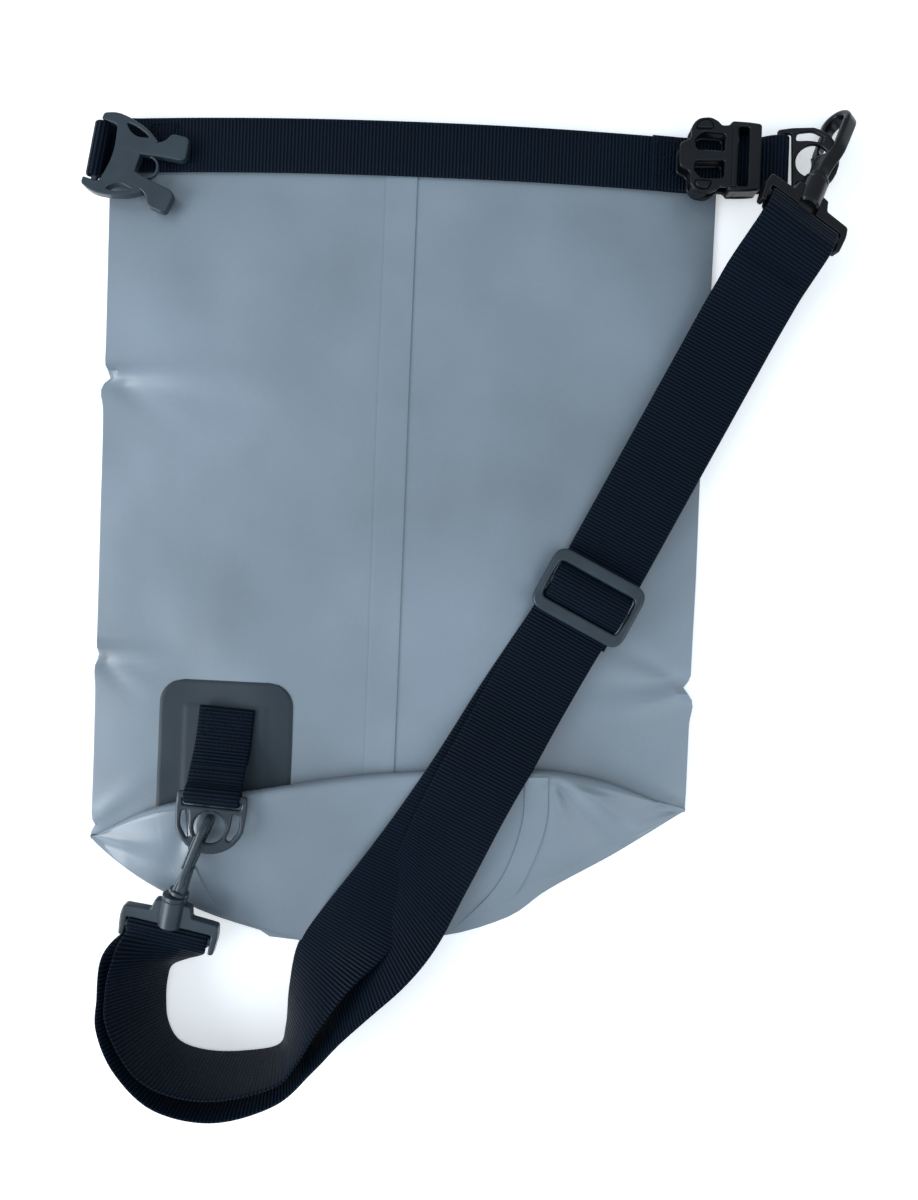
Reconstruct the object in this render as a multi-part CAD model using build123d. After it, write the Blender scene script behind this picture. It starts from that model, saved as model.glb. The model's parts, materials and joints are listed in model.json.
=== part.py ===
from build123d import *
import math
import os

# Roll-top dry bag, lying empty on its back, with its bottom folded up over the front.
# Millimetres. +X is the bag's right, +Y points to the mouth, +Z is up.
# The origin is on the ground under the middle of the bag's back.

# Bag body: a flattened tube of coated fabric
HALF_WIDTH = 139.0
WALL = 0.6
EDGE_HEIGHT = 1.2
BODY_HEIGHT = 11.0
MOUTH_HEIGHT = 10.0
MOUTH_Y = 185.0
ROLL_Y = 126.0
TAPER_Y = -128.0
TOE_Y = -194.0
TOE_HEIGHT = 3.0
INSIDE_INSET = 3.0
GAP = 0.3

# Outline of the folded bottom, from the left corner round to the right corner
BOTTOM_OUTLINE = [
    (-137.5, -147.0),
    (-120.6, -160.3),
    (-104.0, -171.0),
    (-77.0, -183.6),
    (-43.0, -190.6),
    (-10.0, -192.0),
    (25.8, -185.6),
    (53.0, -176.7),
    (73.0, -163.0),
    (107.0, -143.0),
    (137.0, -124.0),
]

# Round bottom, folded in half along its crest
DISC_CENTRE = (-15.0, -112.0)
DISC_RADIUS = 90.0
TAPE_WIDTH = 14.0
CREST_Y = -112.0
CREST_TOP = 18.0
CREST_UNDER = 13.6
CREST_BULGE = 3.5
FLAP_TOE_TOP = 4.8
FLAP_TOE_UNDER = 3.9

# Weld strip up the front
STRIP_LEFT = -12.0
STRIP_WIDTH = 14.0
STRIP_THICKNESS = 0.5

# Reinforcing patch with its webbing tab
PATCH_LEFT = -107.0
PATCH_WIDTH = 62.0
PATCH_TOP = -72.0
PATCH_CORNER = 11.0
PATCH_THICKNESS = 0.6
ANCHOR_WIDTH = 39.0
ANCHOR_THICKNESS = 0.6
TAB_LENGTH = 39.0
TAB_LOW_Z = 11.0
TAB_HEADING = (-0.07, -1.0)

# Mouth band: 25 mm webbing over a plastic stiffener
BAND_WIDTH = 25.0
BAND_LOW_Y = 160.0
BAND_MID_Y = BAND_LOW_Y + BAND_WIDTH / 2
BAND_HALF_LENGTH = 126.0
WEBBING = 1.2
STIFFENER_WIDTH = 20.0
STIFFENER_HALF_LENGTH = 122.0
BACK_STIFFENER_HALF_LENGTH = 116.0
HEM_HALF_LENGTH = 120.0
STIFFENER = 0.9
BAND_OFFSET = 1.1
OVERLAP_START = 109.0
TAIL_LOW_Z = 3.9
LOOP_RADIUS = 3.25
THREAD = 0.25

# Side-release buckle
BUCKLE_BAR_RADIUS = 1.8
MALE_POSITION = (-142.3, 166.5)
MALE_ANGLE = -16.4
MALE_BAR_Z = 10.5
MALE_THICKNESS = 5.0
MALE_LOOP_RADIUS = 4.2
PRONG_THICKNESS = 4.4
PRONG_ROOT = (16.9, 6.8)
FEMALE_BAR_X = 152.5
FEMALE_BAR_Z = 8.65
FEMALE_LENGTH = 33.0
FEMALE_WIDTH = 34.0
FEMALE_UNDERSIDE = -1.25
FEMALE_THICKNESS = 10.0
SOCKET_WIDTH = 27.5
SOCKET_HEIGHT = 6.2
SOCKET_DEPTH = 25.0

# D-rings
RING_THICKNESS = 2.8
RING_CENTRE = 9.4
RING_RADIUS = 16.0
RING_HOLE = 13.3
RING_HOLE_RADIUS = 7.1
RING_SLOT_HALF = 13.0
RING_SLOT_END = 4.4
UPPER_RING_POSITION = (168.3, BAND_MID_Y + 1.5, TAIL_LOW_Z + LOOP_RADIUS)
UPPER_RING_PITCH = 12.5
UPPER_RING_HEADING = (1.0, 0.042)
LOWER_RING_POSITION = (-77.3, -122.6, 21.8)
LOWER_RING_PITCH = -1.0

# Swivel hooks
BAR_RADIUS = 2.3
BASE_HALF_WIDTH = 22.0
BASE_THICKNESS = 5.0
BARREL_START = 11.0
BARREL_END = 25.0
BARREL_RADIUS = 5.6
SHANK_RADIUS = 2.6
SHANK_HEAD_RADIUS = 4.0
RUNNING_GAP = 0.08
HOOK_LENGTH = 65.5
HOOK_RADIUS = 7.5
THROAT_RADIUS = 4.3
THROAT_START = 42.0
HOOK_THICKNESS = 3.4
GATE_ROOT = 38.5
GATE_END = 53.5
UPPER_HOOK_TIP = (196.1, 198.1)
UPPER_HOOK_HEADING = (0.386, 0.922)
UPPER_HOOK_PITCH = -17.4
UPPER_HOOK_ROLL = 58.0
UPPER_BAR_Z = 25.3
LOWER_HOOK_TIP = (-77.1, -129.8)
LOWER_HOOK_HEADING = (0.365, 0.931)
LOWER_HOOK_PITCH = 8.0
LOWER_HOOK_ROLL = 90.0
LOWER_BAR_Z = 15.4

# Shoulder strap: 38 mm webbing, through a tri-glide slider
STRAP_WIDTH = 37.0
STRAP_WEBBING = 1.3
LAYER_STEP = 1.7
SLIDER_POSITION = (86.8, -27.7)
STRAP_HEADING = (0.45, 0.893)
STRAP_SPLIT = -22.0
STRAP_LOOP_RADIUS = 4.0
STRAP_END_PITCH = 32.0
SLIDER_LENGTH = 30.5
SLIDER_WIDTH = 46.0
SLIDER_THICKNESS = 3.4
SLIDER_LOW_Z = 13.7
WINDOW_LENGTH = 18.2
WINDOW_WIDTH = 38.2
LOOP_TOP_Z = 36.0
INNER_LOOP_ROUTE = [
    (-30.0, -198.0),
    (-41.0, -212.0),
    (-43.0, -230.0),
    (-54.0, -243.0),
    (-74.0, -247.0),
    (-93.0, -242.0),
    (-104.0, -231.0),
    (-107.0, -208.0),
]
OUTER_LOOP_ROUTE = [
    (2.0, -199.0),
    (-14.0, -213.0),
    (-28.0, -230.0),
    (-45.0, -244.0),
    (-69.0, -252.5),
    (-96.0, -248.0),
    (-111.0, -234.0),
    (-114.0, -208.0),
]


def direction(heading, pitch):
    """Unit vector along a heading in plan, raised by the pitch in degrees."""
    length = math.hypot(heading[0], heading[1])
    flat = math.cos(math.radians(pitch)) / length
    return Vector(heading[0] * flat, heading[1] * flat, math.sin(math.radians(pitch)))


def rolled_plane(origin, axis, roll):
    """Frame whose x runs along the axis and whose y tips down as the roll grows."""
    up = (Vector(0, 0, 1) - axis * axis.Z).normalized()
    side = up.cross(axis)
    turn = math.radians(roll)
    normal = up * math.cos(turn) + side * math.sin(turn)
    return Plane(origin=origin, x_dir=axis, z_dir=normal)


def hook_plane(tip, heading, pitch, roll, bar_z):
    """Frame of a swivel hook: x runs from its strap bar to its tip."""
    axis = direction(heading, pitch)
    origin = Vector(tip[0], tip[1], 0) - Vector(axis.X, axis.Y, 0) * HOOK_LENGTH
    return rolled_plane(Vector(origin.X, origin.Y, bar_z), axis, roll)


UPPER_HOOK = hook_plane(
    UPPER_HOOK_TIP, UPPER_HOOK_HEADING, UPPER_HOOK_PITCH, UPPER_HOOK_ROLL, UPPER_BAR_Z)
UPPER_BASE = hook_plane(UPPER_HOOK_TIP, UPPER_HOOK_HEADING, UPPER_HOOK_PITCH, 0.0, UPPER_BAR_Z)
LOWER_HOOK = hook_plane(
    LOWER_HOOK_TIP, LOWER_HOOK_HEADING, LOWER_HOOK_PITCH, LOWER_HOOK_ROLL, LOWER_BAR_Z)
LOWER_BASE = hook_plane(LOWER_HOOK_TIP, LOWER_HOOK_HEADING, LOWER_HOOK_PITCH, 0.0, LOWER_BAR_Z)
UPPER_RING = rolled_plane(
    Vector(*UPPER_RING_POSITION), direction(UPPER_RING_HEADING, UPPER_RING_PITCH), 0.0)
LOWER_RING = rolled_plane(
    Vector(*LOWER_RING_POSITION), direction(TAB_HEADING, LOWER_RING_PITCH), 0.0)
TAB_PLANE = Plane(
    origin=(LOWER_RING_POSITION[0], LOWER_RING_POSITION[1], 0), x_dir=(*TAB_HEADING, 0), z_dir=(0, 0, 1))
MALE_BUCKLE = Plane(origin=(*MALE_POSITION, MALE_BAR_Z)).rotated((0, 0, MALE_ANGLE))
FEMALE_BUCKLE = Plane(origin=(FEMALE_BAR_X, BAND_MID_Y, FEMALE_BAR_Z)).rotated((0, 0, 180))
STRAP_PLANE = Plane(origin=(*SLIDER_POSITION, 0), x_dir=(*STRAP_HEADING, 0), z_dir=(0, 0, 1))


def placed(plane, shape):
    """The shape, moved from its own frame into the bag's."""
    return plane.location * shape


def plate(points, low, high):
    """A flat plate with a polygon outline, from one height to another."""
    outline = make_face(Polyline(*points, close=True))
    return Pos(0, 0, low) * extrude(outline, amount=high - low)


def block(x_low, x_high, y_low, y_high, z_low, z_high):
    """A rectangular block between two corners."""
    centre = Pos((x_low + x_high) / 2, (y_low + y_high) / 2, (z_low + z_high) / 2)
    return centre * Box(x_high - x_low, y_high - y_low, z_high - z_low)


def round_bar(radius, length, x=0.0, z=0.0):
    """A bar along y, centred on it."""
    return Pos(x, 0, z) * Rot(X=90) * Cylinder(radius, length)


def profile_across(points, width):
    """A profile drawn in x and z, carried across y by the width."""
    outline = make_face(Polyline(*points, close=True))
    return extrude(Plane.XZ * outline, amount=width / 2, both=True)


def lens(y, half_width, edge, height, floor):
    """Section of the flattened tube at a station: flat below and arched above."""
    section = Plane(origin=(0, y, 0), x_dir=(1, 0, 0), z_dir=(0, -1, 0))
    arch = ThreePointArc((half_width, edge), (0, height), (-half_width, edge))
    sides = Polyline((-half_width, edge), (-half_width, floor), (half_width, floor), (half_width, edge))
    return section * make_face(arch + sides)


def tube_between(stations, inside):
    """Ruled solid through the tube's stations, each a pair of y and height."""
    if inside:
        faces = [lens(y, HALF_WIDTH - INSIDE_INSET, 1.0, high - WALL, WALL) for y, high in stations]
    else:
        faces = [lens(y, HALF_WIDTH, EDGE_HEIGHT, high, 0.0) for y, high in stations]
    return loft(faces, ruled=True)


def arch_layer(height, low, high, x_low, x_high, y_low, y_high):
    """A layer that follows the front's arch, between two offsets above it."""
    spread = 4 * HALF_WIDTH
    outer = lens(y_high, HALF_WIDTH, EDGE_HEIGHT + high, height + high, -1.0)
    inner = lens(y_high, HALF_WIDTH, EDGE_HEIGHT + low, height + low, -2.0)
    shell = extrude(outer, amount=y_high - y_low) - extrude(inner, amount=y_high - y_low)
    return shell & block(x_low, x_high, y_low, y_high, -1.0, spread)


def bottom_prism(inset):
    """Prism over the bag's plan outline, drawn in by the inset."""
    outline = make_face(Polyline(*BOTTOM_OUTLINE, (150.0, 200.0), (-150.0, 200.0), close=True))
    if inset > 0:
        outline = offset(outline, amount=-inset, kind=Kind.INTERSECTION)
    return Pos(0, 0, -5) * extrude(outline, amount=60)


def body_tube():
    """The lower tube: open at the roll line and closed along the folded bottom."""
    outer = tube_between([(TOE_Y, TOE_HEIGHT), (TAPER_Y, BODY_HEIGHT), (ROLL_Y, BODY_HEIGHT)], False)
    inner = tube_between([(TOE_Y, TOE_HEIGHT), (TAPER_Y, BODY_HEIGHT), (ROLL_Y, BODY_HEIGHT)], True)
    return (outer & bottom_prism(0.0)) - (inner & bottom_prism(INSIDE_INSET))


def mouth_tube():
    """The tube above the roll line, open at both ends."""
    stations = [(ROLL_Y, BODY_HEIGHT), (BAND_LOW_Y - 2, MOUTH_HEIGHT), (MOUTH_Y, MOUTH_HEIGHT)]
    return tube_between(stations, False) - tube_between(stations, True)


def weld_strip(y_low, y_high):
    """The welded overlap that closes the tube, up the middle of the front."""
    return arch_layer(
        BODY_HEIGHT, 0.05, STRIP_THICKNESS, STRIP_LEFT, STRIP_LEFT + STRIP_WIDTH, y_low, y_high)


def mouth_weld_strip():
    """The weld strip's last stretch, from the roll line to the band."""
    layers = []
    for rise in (0.05, STRIP_THICKNESS):
        stations = [(ROLL_Y, BODY_HEIGHT), (BAND_LOW_Y - 2, MOUTH_HEIGHT)]
        faces = [lens(y, HALF_WIDTH, EDGE_HEIGHT + rise, high + rise, 0.0) for y, high in stations]
        layers.append(loft(faces, ruled=True))
    return (layers[1] - layers[0]) & block(STRIP_LEFT, STRIP_LEFT + STRIP_WIDTH, ROLL_Y, MOUTH_Y, 1, 30)


def flap_sheet(rise, x_low, x_high):
    """The folded bottom: an upper and an under layer joined by a round crest."""
    top_toe = (TOE_Y + 1, FLAP_TOE_TOP + rise)
    under_toe = (TOE_Y + 1, FLAP_TOE_UNDER)
    top_crest = (CREST_Y, CREST_TOP + rise)
    under_crest = (CREST_Y, CREST_UNDER)
    nose = (CREST_Y + CREST_BULGE + rise, (CREST_TOP + CREST_UNDER + rise) / 2)
    outline = Polyline(top_crest, top_toe, under_toe, under_crest)
    outline += ThreePointArc(under_crest, nose, top_crest)
    section = Plane(origin=(x_low, 0, 0), x_dir=(0, 1, 0), z_dir=(1, 0, 0))
    return extrude(section * make_face(outline), amount=x_high - x_low)


def flap_hollow(x_low, x_high):
    """The space between the two layers of the folded bottom."""
    top_toe = (TOE_Y, FLAP_TOE_TOP - 0.3)
    under_toe = (TOE_Y, FLAP_TOE_UNDER + 0.4)
    top_crest = (CREST_Y, CREST_TOP - WALL)
    under_crest = (CREST_Y, CREST_UNDER + WALL)
    nose = (CREST_Y + CREST_BULGE - WALL, (CREST_TOP + CREST_UNDER) / 2)
    outline = Polyline(top_crest, top_toe, under_toe, under_crest)
    outline += ThreePointArc(under_crest, nose, top_crest)
    section = Plane(origin=(x_low, 0, 0), x_dir=(0, 1, 0), z_dir=(1, 0, 0))
    return extrude(section * make_face(outline), amount=x_high - x_low)


def disc_prism(radius):
    """Upright cylinder over the round bottom."""
    return Pos(*DISC_CENTRE, 20) * Cylinder(radius, 60)


def bottom_disc():
    """The round bottom, folded double along its crest."""
    sheet = flap_sheet(0.0, -120, 120) - flap_hollow(-121, 121)
    return (sheet & disc_prism(DISC_RADIUS)) & bottom_prism(GAP)


def bottom_seam_tape():
    """The welded tape round the disc's visible half."""
    skin = flap_sheet(WALL, -120, 120) - flap_sheet(0.02, -121, 121)
    skin = skin & block(-130, 130, TOE_Y, CREST_Y, 0, 30)
    ring = disc_prism(DISC_RADIUS - 0.5) - disc_prism(DISC_RADIUS - TAPE_WIDTH)
    return (skin & ring) & bottom_prism(GAP)


def gusset(corner, crest, toe):
    """One side triangle of the folded tube wall, between a corner and the disc."""
    a = Vector(*corner)
    b = Vector(*crest)
    c = Vector(*toe)
    normal = (b - a).cross(c - a).normalized()
    if normal.Z < 0:
        normal = normal * -1
    triangle = extrude(make_face(Polyline(a, b, c, close=True)), amount=WALL, dir=normal)
    return triangle - disc_prism(DISC_RADIUS + GAP)


def patch():
    """The dark reinforcing patch, welded on the front wall."""
    layer = arch_layer(
        BODY_HEIGHT, 0.9, 0.9 + PATCH_THICKNESS, PATCH_LEFT, PATCH_LEFT + PATCH_WIDTH, -127.5, PATCH_TOP)
    corners = RectangleRounded(PATCH_WIDTH, 100, PATCH_CORNER)
    prism = extrude(Pos(PATCH_LEFT + PATCH_WIDTH / 2, PATCH_TOP - 50, -5) * corners, amount=50)
    return layer & prism


def tab_anchor():
    """The webbing's welded-in anchor plate, a raised square under the patch."""
    middle = PATCH_LEFT + PATCH_WIDTH / 2
    return arch_layer(
        BODY_HEIGHT, 0.1, 0.1 + ANCHOR_THICKNESS,
        middle - ANCHOR_WIDTH / 2, middle + ANCHOR_WIDTH / 2, -127.0, PATCH_TOP - 12)


def webbing_loop(width, leg, radius, thickness, bar_radius):
    """A webbing leg along -x that ends in a loop round a bar at the origin."""
    ring = round_bar(radius, width) - round_bar(radius - thickness, width + 1)
    tail = block(-leg, 0, -width / 2, width / 2, -radius, -radius + thickness)
    lap = block(-leg * 0.45, 0, -width / 2, width / 2, -radius + thickness, -radius + 2 * thickness)
    return (ring + tail + lap) - round_bar(bar_radius + GAP, width + 1)


def tab_webbing():
    """The 25 mm tab: sewn double on the patch and looped round the lower D-ring's bar."""
    bar_z = LOWER_RING_POSITION[2]
    foot = bar_z - LOOP_RADIUS
    under = [(-TAB_LENGTH, TAB_LOW_Z), (-24.0, TAB_LOW_Z + 0.2), (-15.5, foot), (0.0, foot)]
    top = [(0.0, foot + WEBBING), (-16.5, foot + 2 * WEBBING), (-25.0, TAB_LOW_Z + 0.2 + 2 * WEBBING)]
    top = top + [(-TAB_LENGTH, TAB_LOW_Z + 2 * WEBBING)]
    leg = profile_across(under + top, BAND_WIDTH)
    ring = round_bar(LOOP_RADIUS, BAND_WIDTH, z=bar_z)
    bore = round_bar(LOOP_RADIUS - WEBBING, BAND_WIDTH + 1, z=bar_z)
    return placed(TAB_PLANE, (leg + ring) - bore)


def tab_stitching():
    """The box stitched through the tab."""
    z = TAB_LOW_Z + 2 * WEBBING + 0.4
    rows = [block(s, s + 0.8, -10, 10, z, z + THREAD) for s in (-37.0, -26.6)]
    rows += [block(-36.0, -27.0, v, v + 0.8, z, z + THREAD) for v in (-10.0, 9.2)]
    return placed(TAB_PLANE, Compound(children=rows))


def front_stiffener():
    """The plastic strip between the front lip and the band."""
    low = BAND_MID_Y - STIFFENER_WIDTH / 2
    return arch_layer(
        MOUTH_HEIGHT, 0.1, 0.1 + STIFFENER,
        -STIFFENER_HALF_LENGTH, STIFFENER_HALF_LENGTH, low, low + STIFFENER_WIDTH)


def back_stiffener():
    """The plastic strip inside the back lip's hem."""
    return block(
        -BACK_STIFFENER_HALF_LENGTH, BACK_STIFFENER_HALF_LENGTH,
        BAND_MID_Y - STIFFENER_WIDTH / 2, BAND_MID_Y + STIFFENER_WIDTH / 2, 0.7, 0.7 + STIFFENER)


def back_hem():
    """The turned-in hem that covers the back stiffener."""
    return block(-HEM_HALF_LENGTH, HEM_HALF_LENGTH, BAND_LOW_Y, MOUTH_Y - 0.5, 1.7, 1.7 + WALL)


def band_webbing():
    """The 25 mm band sewn along the front lip."""
    return arch_layer(
        MOUTH_HEIGHT, BAND_OFFSET, BAND_OFFSET + WEBBING,
        -BAND_HALF_LENGTH, BAND_HALF_LENGTH, BAND_LOW_Y, BAND_LOW_Y + BAND_WIDTH)


def band_overlap_layer():
    """The second layer of webbing at the band's right end."""
    low = BAND_OFFSET + WEBBING + 0.2
    return arch_layer(
        MOUTH_HEIGHT, low, low + WEBBING, OVERLAP_START, BAND_HALF_LENGTH,
        BAND_LOW_Y, BAND_LOW_Y + BAND_WIDTH)


def band_stitching():
    """Two rows of thread along the band."""
    rows = []
    low = BAND_OFFSET + WEBBING + 0.02
    for y in (BAND_LOW_Y + 2, BAND_LOW_Y + BAND_WIDTH - 2.8):
        rows.append(arch_layer(
            MOUTH_HEIGHT, low, low + THREAD * 0.6, -100, OVERLAP_START - 1, y, y + 0.8))
    return Compound(children=rows)


def left_tail():
    """The band's left end, past the bag's edge."""
    return block(
        -148, -BAND_HALF_LENGTH - GAP, BAND_LOW_Y, BAND_LOW_Y + BAND_WIDTH,
        TAIL_LOW_Z, TAIL_LOW_Z + WEBBING)


def male_loop():
    """The webbing folded back round the male buckle's bar."""
    loop = webbing_loop(BAND_WIDTH, 20.0, MALE_LOOP_RADIUS, WEBBING, BUCKLE_BAR_RADIUS)
    return placed(MALE_BUCKLE, Rot(Z=180) * loop)


def ring_tail():
    """The band's right end, carried out to the upper D-ring's bar."""
    leg = UPPER_RING_POSITION[0] - BAND_HALF_LENGTH - 3 * GAP
    loop = webbing_loop(BAND_WIDTH, leg, LOOP_RADIUS, WEBBING, BUCKLE_BAR_RADIUS)
    lap = block(-leg, -8, -20, 20, -LOOP_RADIUS + WEBBING, 5)
    frame = rolled_plane(Vector(*UPPER_RING_POSITION), direction(UPPER_RING_HEADING, 0.0), 0.0)
    return placed(frame, loop - lap)


def female_loop():
    """The webbing folded round the female buckle's bar."""
    leg = FEMALE_BAR_X - BAND_HALF_LENGTH - GAP
    loop = webbing_loop(BAND_WIDTH, leg, LOOP_RADIUS, WEBBING, BUCKLE_BAR_RADIUS)
    lap = block(-leg, -2, -20, 20, -LOOP_RADIUS + WEBBING, 5)
    return Pos(FEMALE_BAR_X, BAND_MID_Y, FEMALE_BAR_Z) * (loop - lap)


def mirrored_outline(half):
    """A closed outline from its upper half."""
    return half + [(x, -y) for x, y in reversed(half)]


def male_buckle():
    """The male half: webbing bar, frame, waist and centre guide."""
    half = [(-1.8, 16.0), (3.0, 17.2), (9.0, 17.6), (13.5, 10.5), (16.0, 9.5), (16.0, 3.6), (24.0, 2.4)]
    low = -MALE_THICKNESS / 2
    body = plate(mirrored_outline(half), low, -low)
    body = body - block(-3, 10.0, -13.2, 13.2, -5, 5)
    body = body + round_bar(BUCKLE_BAR_RADIUS, 27)
    return placed(MALE_BUCKLE, body)


def prong(side):
    """One sprung prong with its catch head."""
    points = [
        (16.9, 4.6), (27.0, 6.6), (38.0, 8.6), (39.5, 11.5),
        (35.5, 16.4), (28.5, 16.4), (26.5, 10.8), (16.9, 9.0),
    ]
    body = plate([(x, y * side) for x, y in points], -PRONG_THICKNESS / 2, PRONG_THICKNESS / 2)
    return placed(MALE_BUCKLE, body)


def female_buckle():
    """The female half: a socket with side windows, and its webbing bar."""
    half = [
        (-1.8, 13.9), (-1.8, 15.0), (6.0, 15.6), (9.5, 17.0), (12.0, 17.0), (14.0, 15.2),
        (19.0, 15.2), (22.0, 17.0), (30.5, 17.0), (FEMALE_LENGTH, 14.8),
    ]
    low = FEMALE_UNDERSIDE
    body = plate(mirrored_outline(half), low, low + FEMALE_THICKNESS)
    body = body - block(-4, 6.5, -13.2, 13.2, -9, 20)
    middle = low + FEMALE_THICKNESS / 2
    socket = block(
        FEMALE_LENGTH - SOCKET_DEPTH, FEMALE_LENGTH + 5, -SOCKET_WIDTH / 2, SOCKET_WIDTH / 2,
        middle - SOCKET_HEIGHT / 2, middle + SOCKET_HEIGHT / 2)
    windows = block(12.5, 19.5, -20, 20, middle - 2.6, middle + 2.6)
    bar = round_bar(BUCKLE_BAR_RADIUS, 29)
    return placed(FEMALE_BUCKLE, (body - socket - windows) + bar)


def d_ring():
    """A moulded D-ring: webbing bar, round eye and two slanted windows."""
    edge = 8.0
    reach = math.sqrt(RING_RADIUS ** 2 - (edge - RING_CENTRE) ** 2)
    arc = ThreePointArc((edge, reach), (RING_CENTRE + RING_RADIUS, 0), (edge, -reach))
    sides = Polyline((edge, -reach), (-1.8, -reach), (-1.8, reach), (edge, reach))
    outline = make_face(arc + sides)
    body = Pos(0, 0, -RING_THICKNESS / 2) * extrude(outline, amount=RING_THICKNESS)
    body = body - block(-3, RING_SLOT_END, -RING_SLOT_HALF, RING_SLOT_HALF, -3, 3)
    body = body - Pos(RING_HOLE, 0, 0) * Cylinder(RING_HOLE_RADIUS, 10)
    for side in (-1, 1):
        window = Rot(Z=-24 * side) * SlotOverall(10.0, 3.8)
        body = body - extrude(Pos(11.5, 10.4 * side, -3) * window, amount=6)
    return body + round_bar(BUCKLE_BAR_RADIUS, 2 * reach - 1)


def swivel_base():
    """The stirrup that holds the strap, with the barrel the hook turns in."""
    half = BASE_THICKNESS / 2
    body = block(-2.3, 11.2, -BASE_HALF_WIDTH, BASE_HALF_WIDTH, -half, half)
    body = body - block(-3, 7.2, -STRAP_WIDTH / 2 - 0.6, STRAP_WIDTH / 2 + 0.6, -5, 5)
    for side in (-1, 1):
        shoulder = block(9.0, 12, 13.0, 24, -5, 5)
        body = body - (shoulder if side > 0 else mirror(shoulder, about=Plane.XZ))
    barrel = Pos((BARREL_START + BARREL_END) / 2 - 2, 0, 0) * Rot(Y=90)
    body = body + barrel * Cylinder(BARREL_RADIUS, BARREL_END - BARREL_START + 4)
    body = body + round_bar(BAR_RADIUS, 2 * BASE_HALF_WIDTH - 1)
    bore = Pos(17, 0, 0) * Rot(Y=90) * Cylinder(SHANK_RADIUS + RUNNING_GAP, 40)
    bore = bore & block(6, 40, -10, 10, -10, 10)
    pocket = block(7.0, 16.3, -SHANK_HEAD_RADIUS - 0.4, SHANK_HEAD_RADIUS + 0.4, -9, 9)
    return body - bore - pocket


def hook_outline():
    """The hook's whole outline, before the gate is cut from it."""
    half = [(25.4, 3.6), (34.0, 3.6), (THROAT_START, HOOK_RADIUS), (57.0, HOOK_RADIUS)]
    body = plate(mirrored_outline(half), -HOOK_THICKNESS / 2, HOOK_THICKNESS / 2)
    body = body + Pos(HOOK_LENGTH - HOOK_RADIUS, 0, 0) * Cylinder(HOOK_RADIUS, HOOK_THICKNESS)
    body = body + block(50, HOOK_LENGTH - HOOK_RADIUS, -HOOK_RADIUS, HOOK_RADIUS,
                        -HOOK_THICKNESS / 2, HOOK_THICKNESS / 2)
    throat_end = HOOK_LENGTH - HOOK_RADIUS
    throat = block(THROAT_START, throat_end, -THROAT_RADIUS, THROAT_RADIUS, -5, 5)
    throat = throat + Pos(throat_end, 0, 0) * Cylinder(THROAT_RADIUS, 10)
    throat = throat + Pos(THROAT_START, 0, 0) * Cylinder(THROAT_RADIUS, 10)
    return body - throat


def hook():
    """The snap hook with its shank and retaining head; the gate side is open."""
    opening = block(GATE_ROOT - GAP, GATE_END + GAP, 1.2, 12, -5, 5)
    shank = Pos(20.5, 0, 0) * Rot(Y=90) * Cylinder(SHANK_RADIUS, 12)
    head = Pos(14.6, 0, 0) * Rot(Y=90) * Cylinder(SHANK_HEAD_RADIUS, 2.4)
    return (hook_outline() - opening) + shank + head


def gate():
    """The sprung gate that closes the hook's throat."""
    span = block(GATE_ROOT, GATE_END, 1.5, 12, -HOOK_THICKNESS / 2 + 0.3, HOOK_THICKNESS / 2 - 0.3)
    return hook_outline() & span


def strap_layer(line):
    """A flat run of the strap, from its underside drawn along the strap."""
    top = [(s, z + STRAP_WEBBING) for s, z in reversed(line)]
    return placed(STRAP_PLANE, profile_across(line + top, STRAP_WIDTH))


def strap_upper_run():
    """The single run from the slider to the roll line."""
    run = strap_layer([(STRAP_SPLIT + 0.02, 10.0), (200.0, 12.3)])
    return run & block(-300, 300, -300, ROLL_Y, -5, 60)


UNDER_LINE = [(-160.0, 11.2), (-104.0, 19.0), (-80.0, 19.0), (-58.0, 10.7), (STRAP_SPLIT, 10.0)]


def strap_under_layer():
    """The lower of the two layers that run on over the folded bottom."""
    return strap_layer(UNDER_LINE)


def strap_return_layer():
    """The upper of the two layers."""
    return strap_layer([(s, z + LAYER_STEP) for s, z in UNDER_LINE])


def strap_loop(route):
    """A layer of the strap's free loop, standing on its edge on the ground."""
    path = FilletPolyline(*route, radius=9.0)
    return extrude(trace(path, STRAP_WEBBING), amount=LOOP_TOP_Z)


def strap_end_plane():
    """Frame of the strap's sewn end: x runs up the strap to the swivel's bar."""
    return rolled_plane(UPPER_BASE.origin, direction(UPPER_HOOK_HEADING, STRAP_END_PITCH), 0.0)


def strap_end_loop():
    """The sewn end round the upper swivel's bar, down to the roll line."""
    loop = webbing_loop(STRAP_WIDTH, 40.0, STRAP_LOOP_RADIUS, STRAP_WEBBING, BAR_RADIUS)
    return placed(strap_end_plane(), loop) & block(-300, 300, ROLL_Y, 300, -5, 60)


def strap_end_stitching():
    """The bar tacks across the sewn end."""
    z = 2 * STRAP_WEBBING - STRAP_LOOP_RADIUS + 0.02
    rows = [block(x, x + 0.8, -16, 16, z, z + THREAD) for x in (-9.5, -7.5)]
    return placed(strap_end_plane(), Compound(children=rows))


def strap_base_loop():
    """The strap's turn round the lower swivel's bar."""
    loop = webbing_loop(STRAP_WIDTH, 13.0, STRAP_LOOP_RADIUS, STRAP_WEBBING, BAR_RADIUS)
    upper = block(
        -13, 0, -STRAP_WIDTH / 2, STRAP_WIDTH / 2, STRAP_LOOP_RADIUS - STRAP_WEBBING, STRAP_LOOP_RADIUS)
    bore = round_bar(BAR_RADIUS + GAP, STRAP_WIDTH + 1)
    return placed(LOWER_BASE, (loop + upper) - bore)


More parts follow.
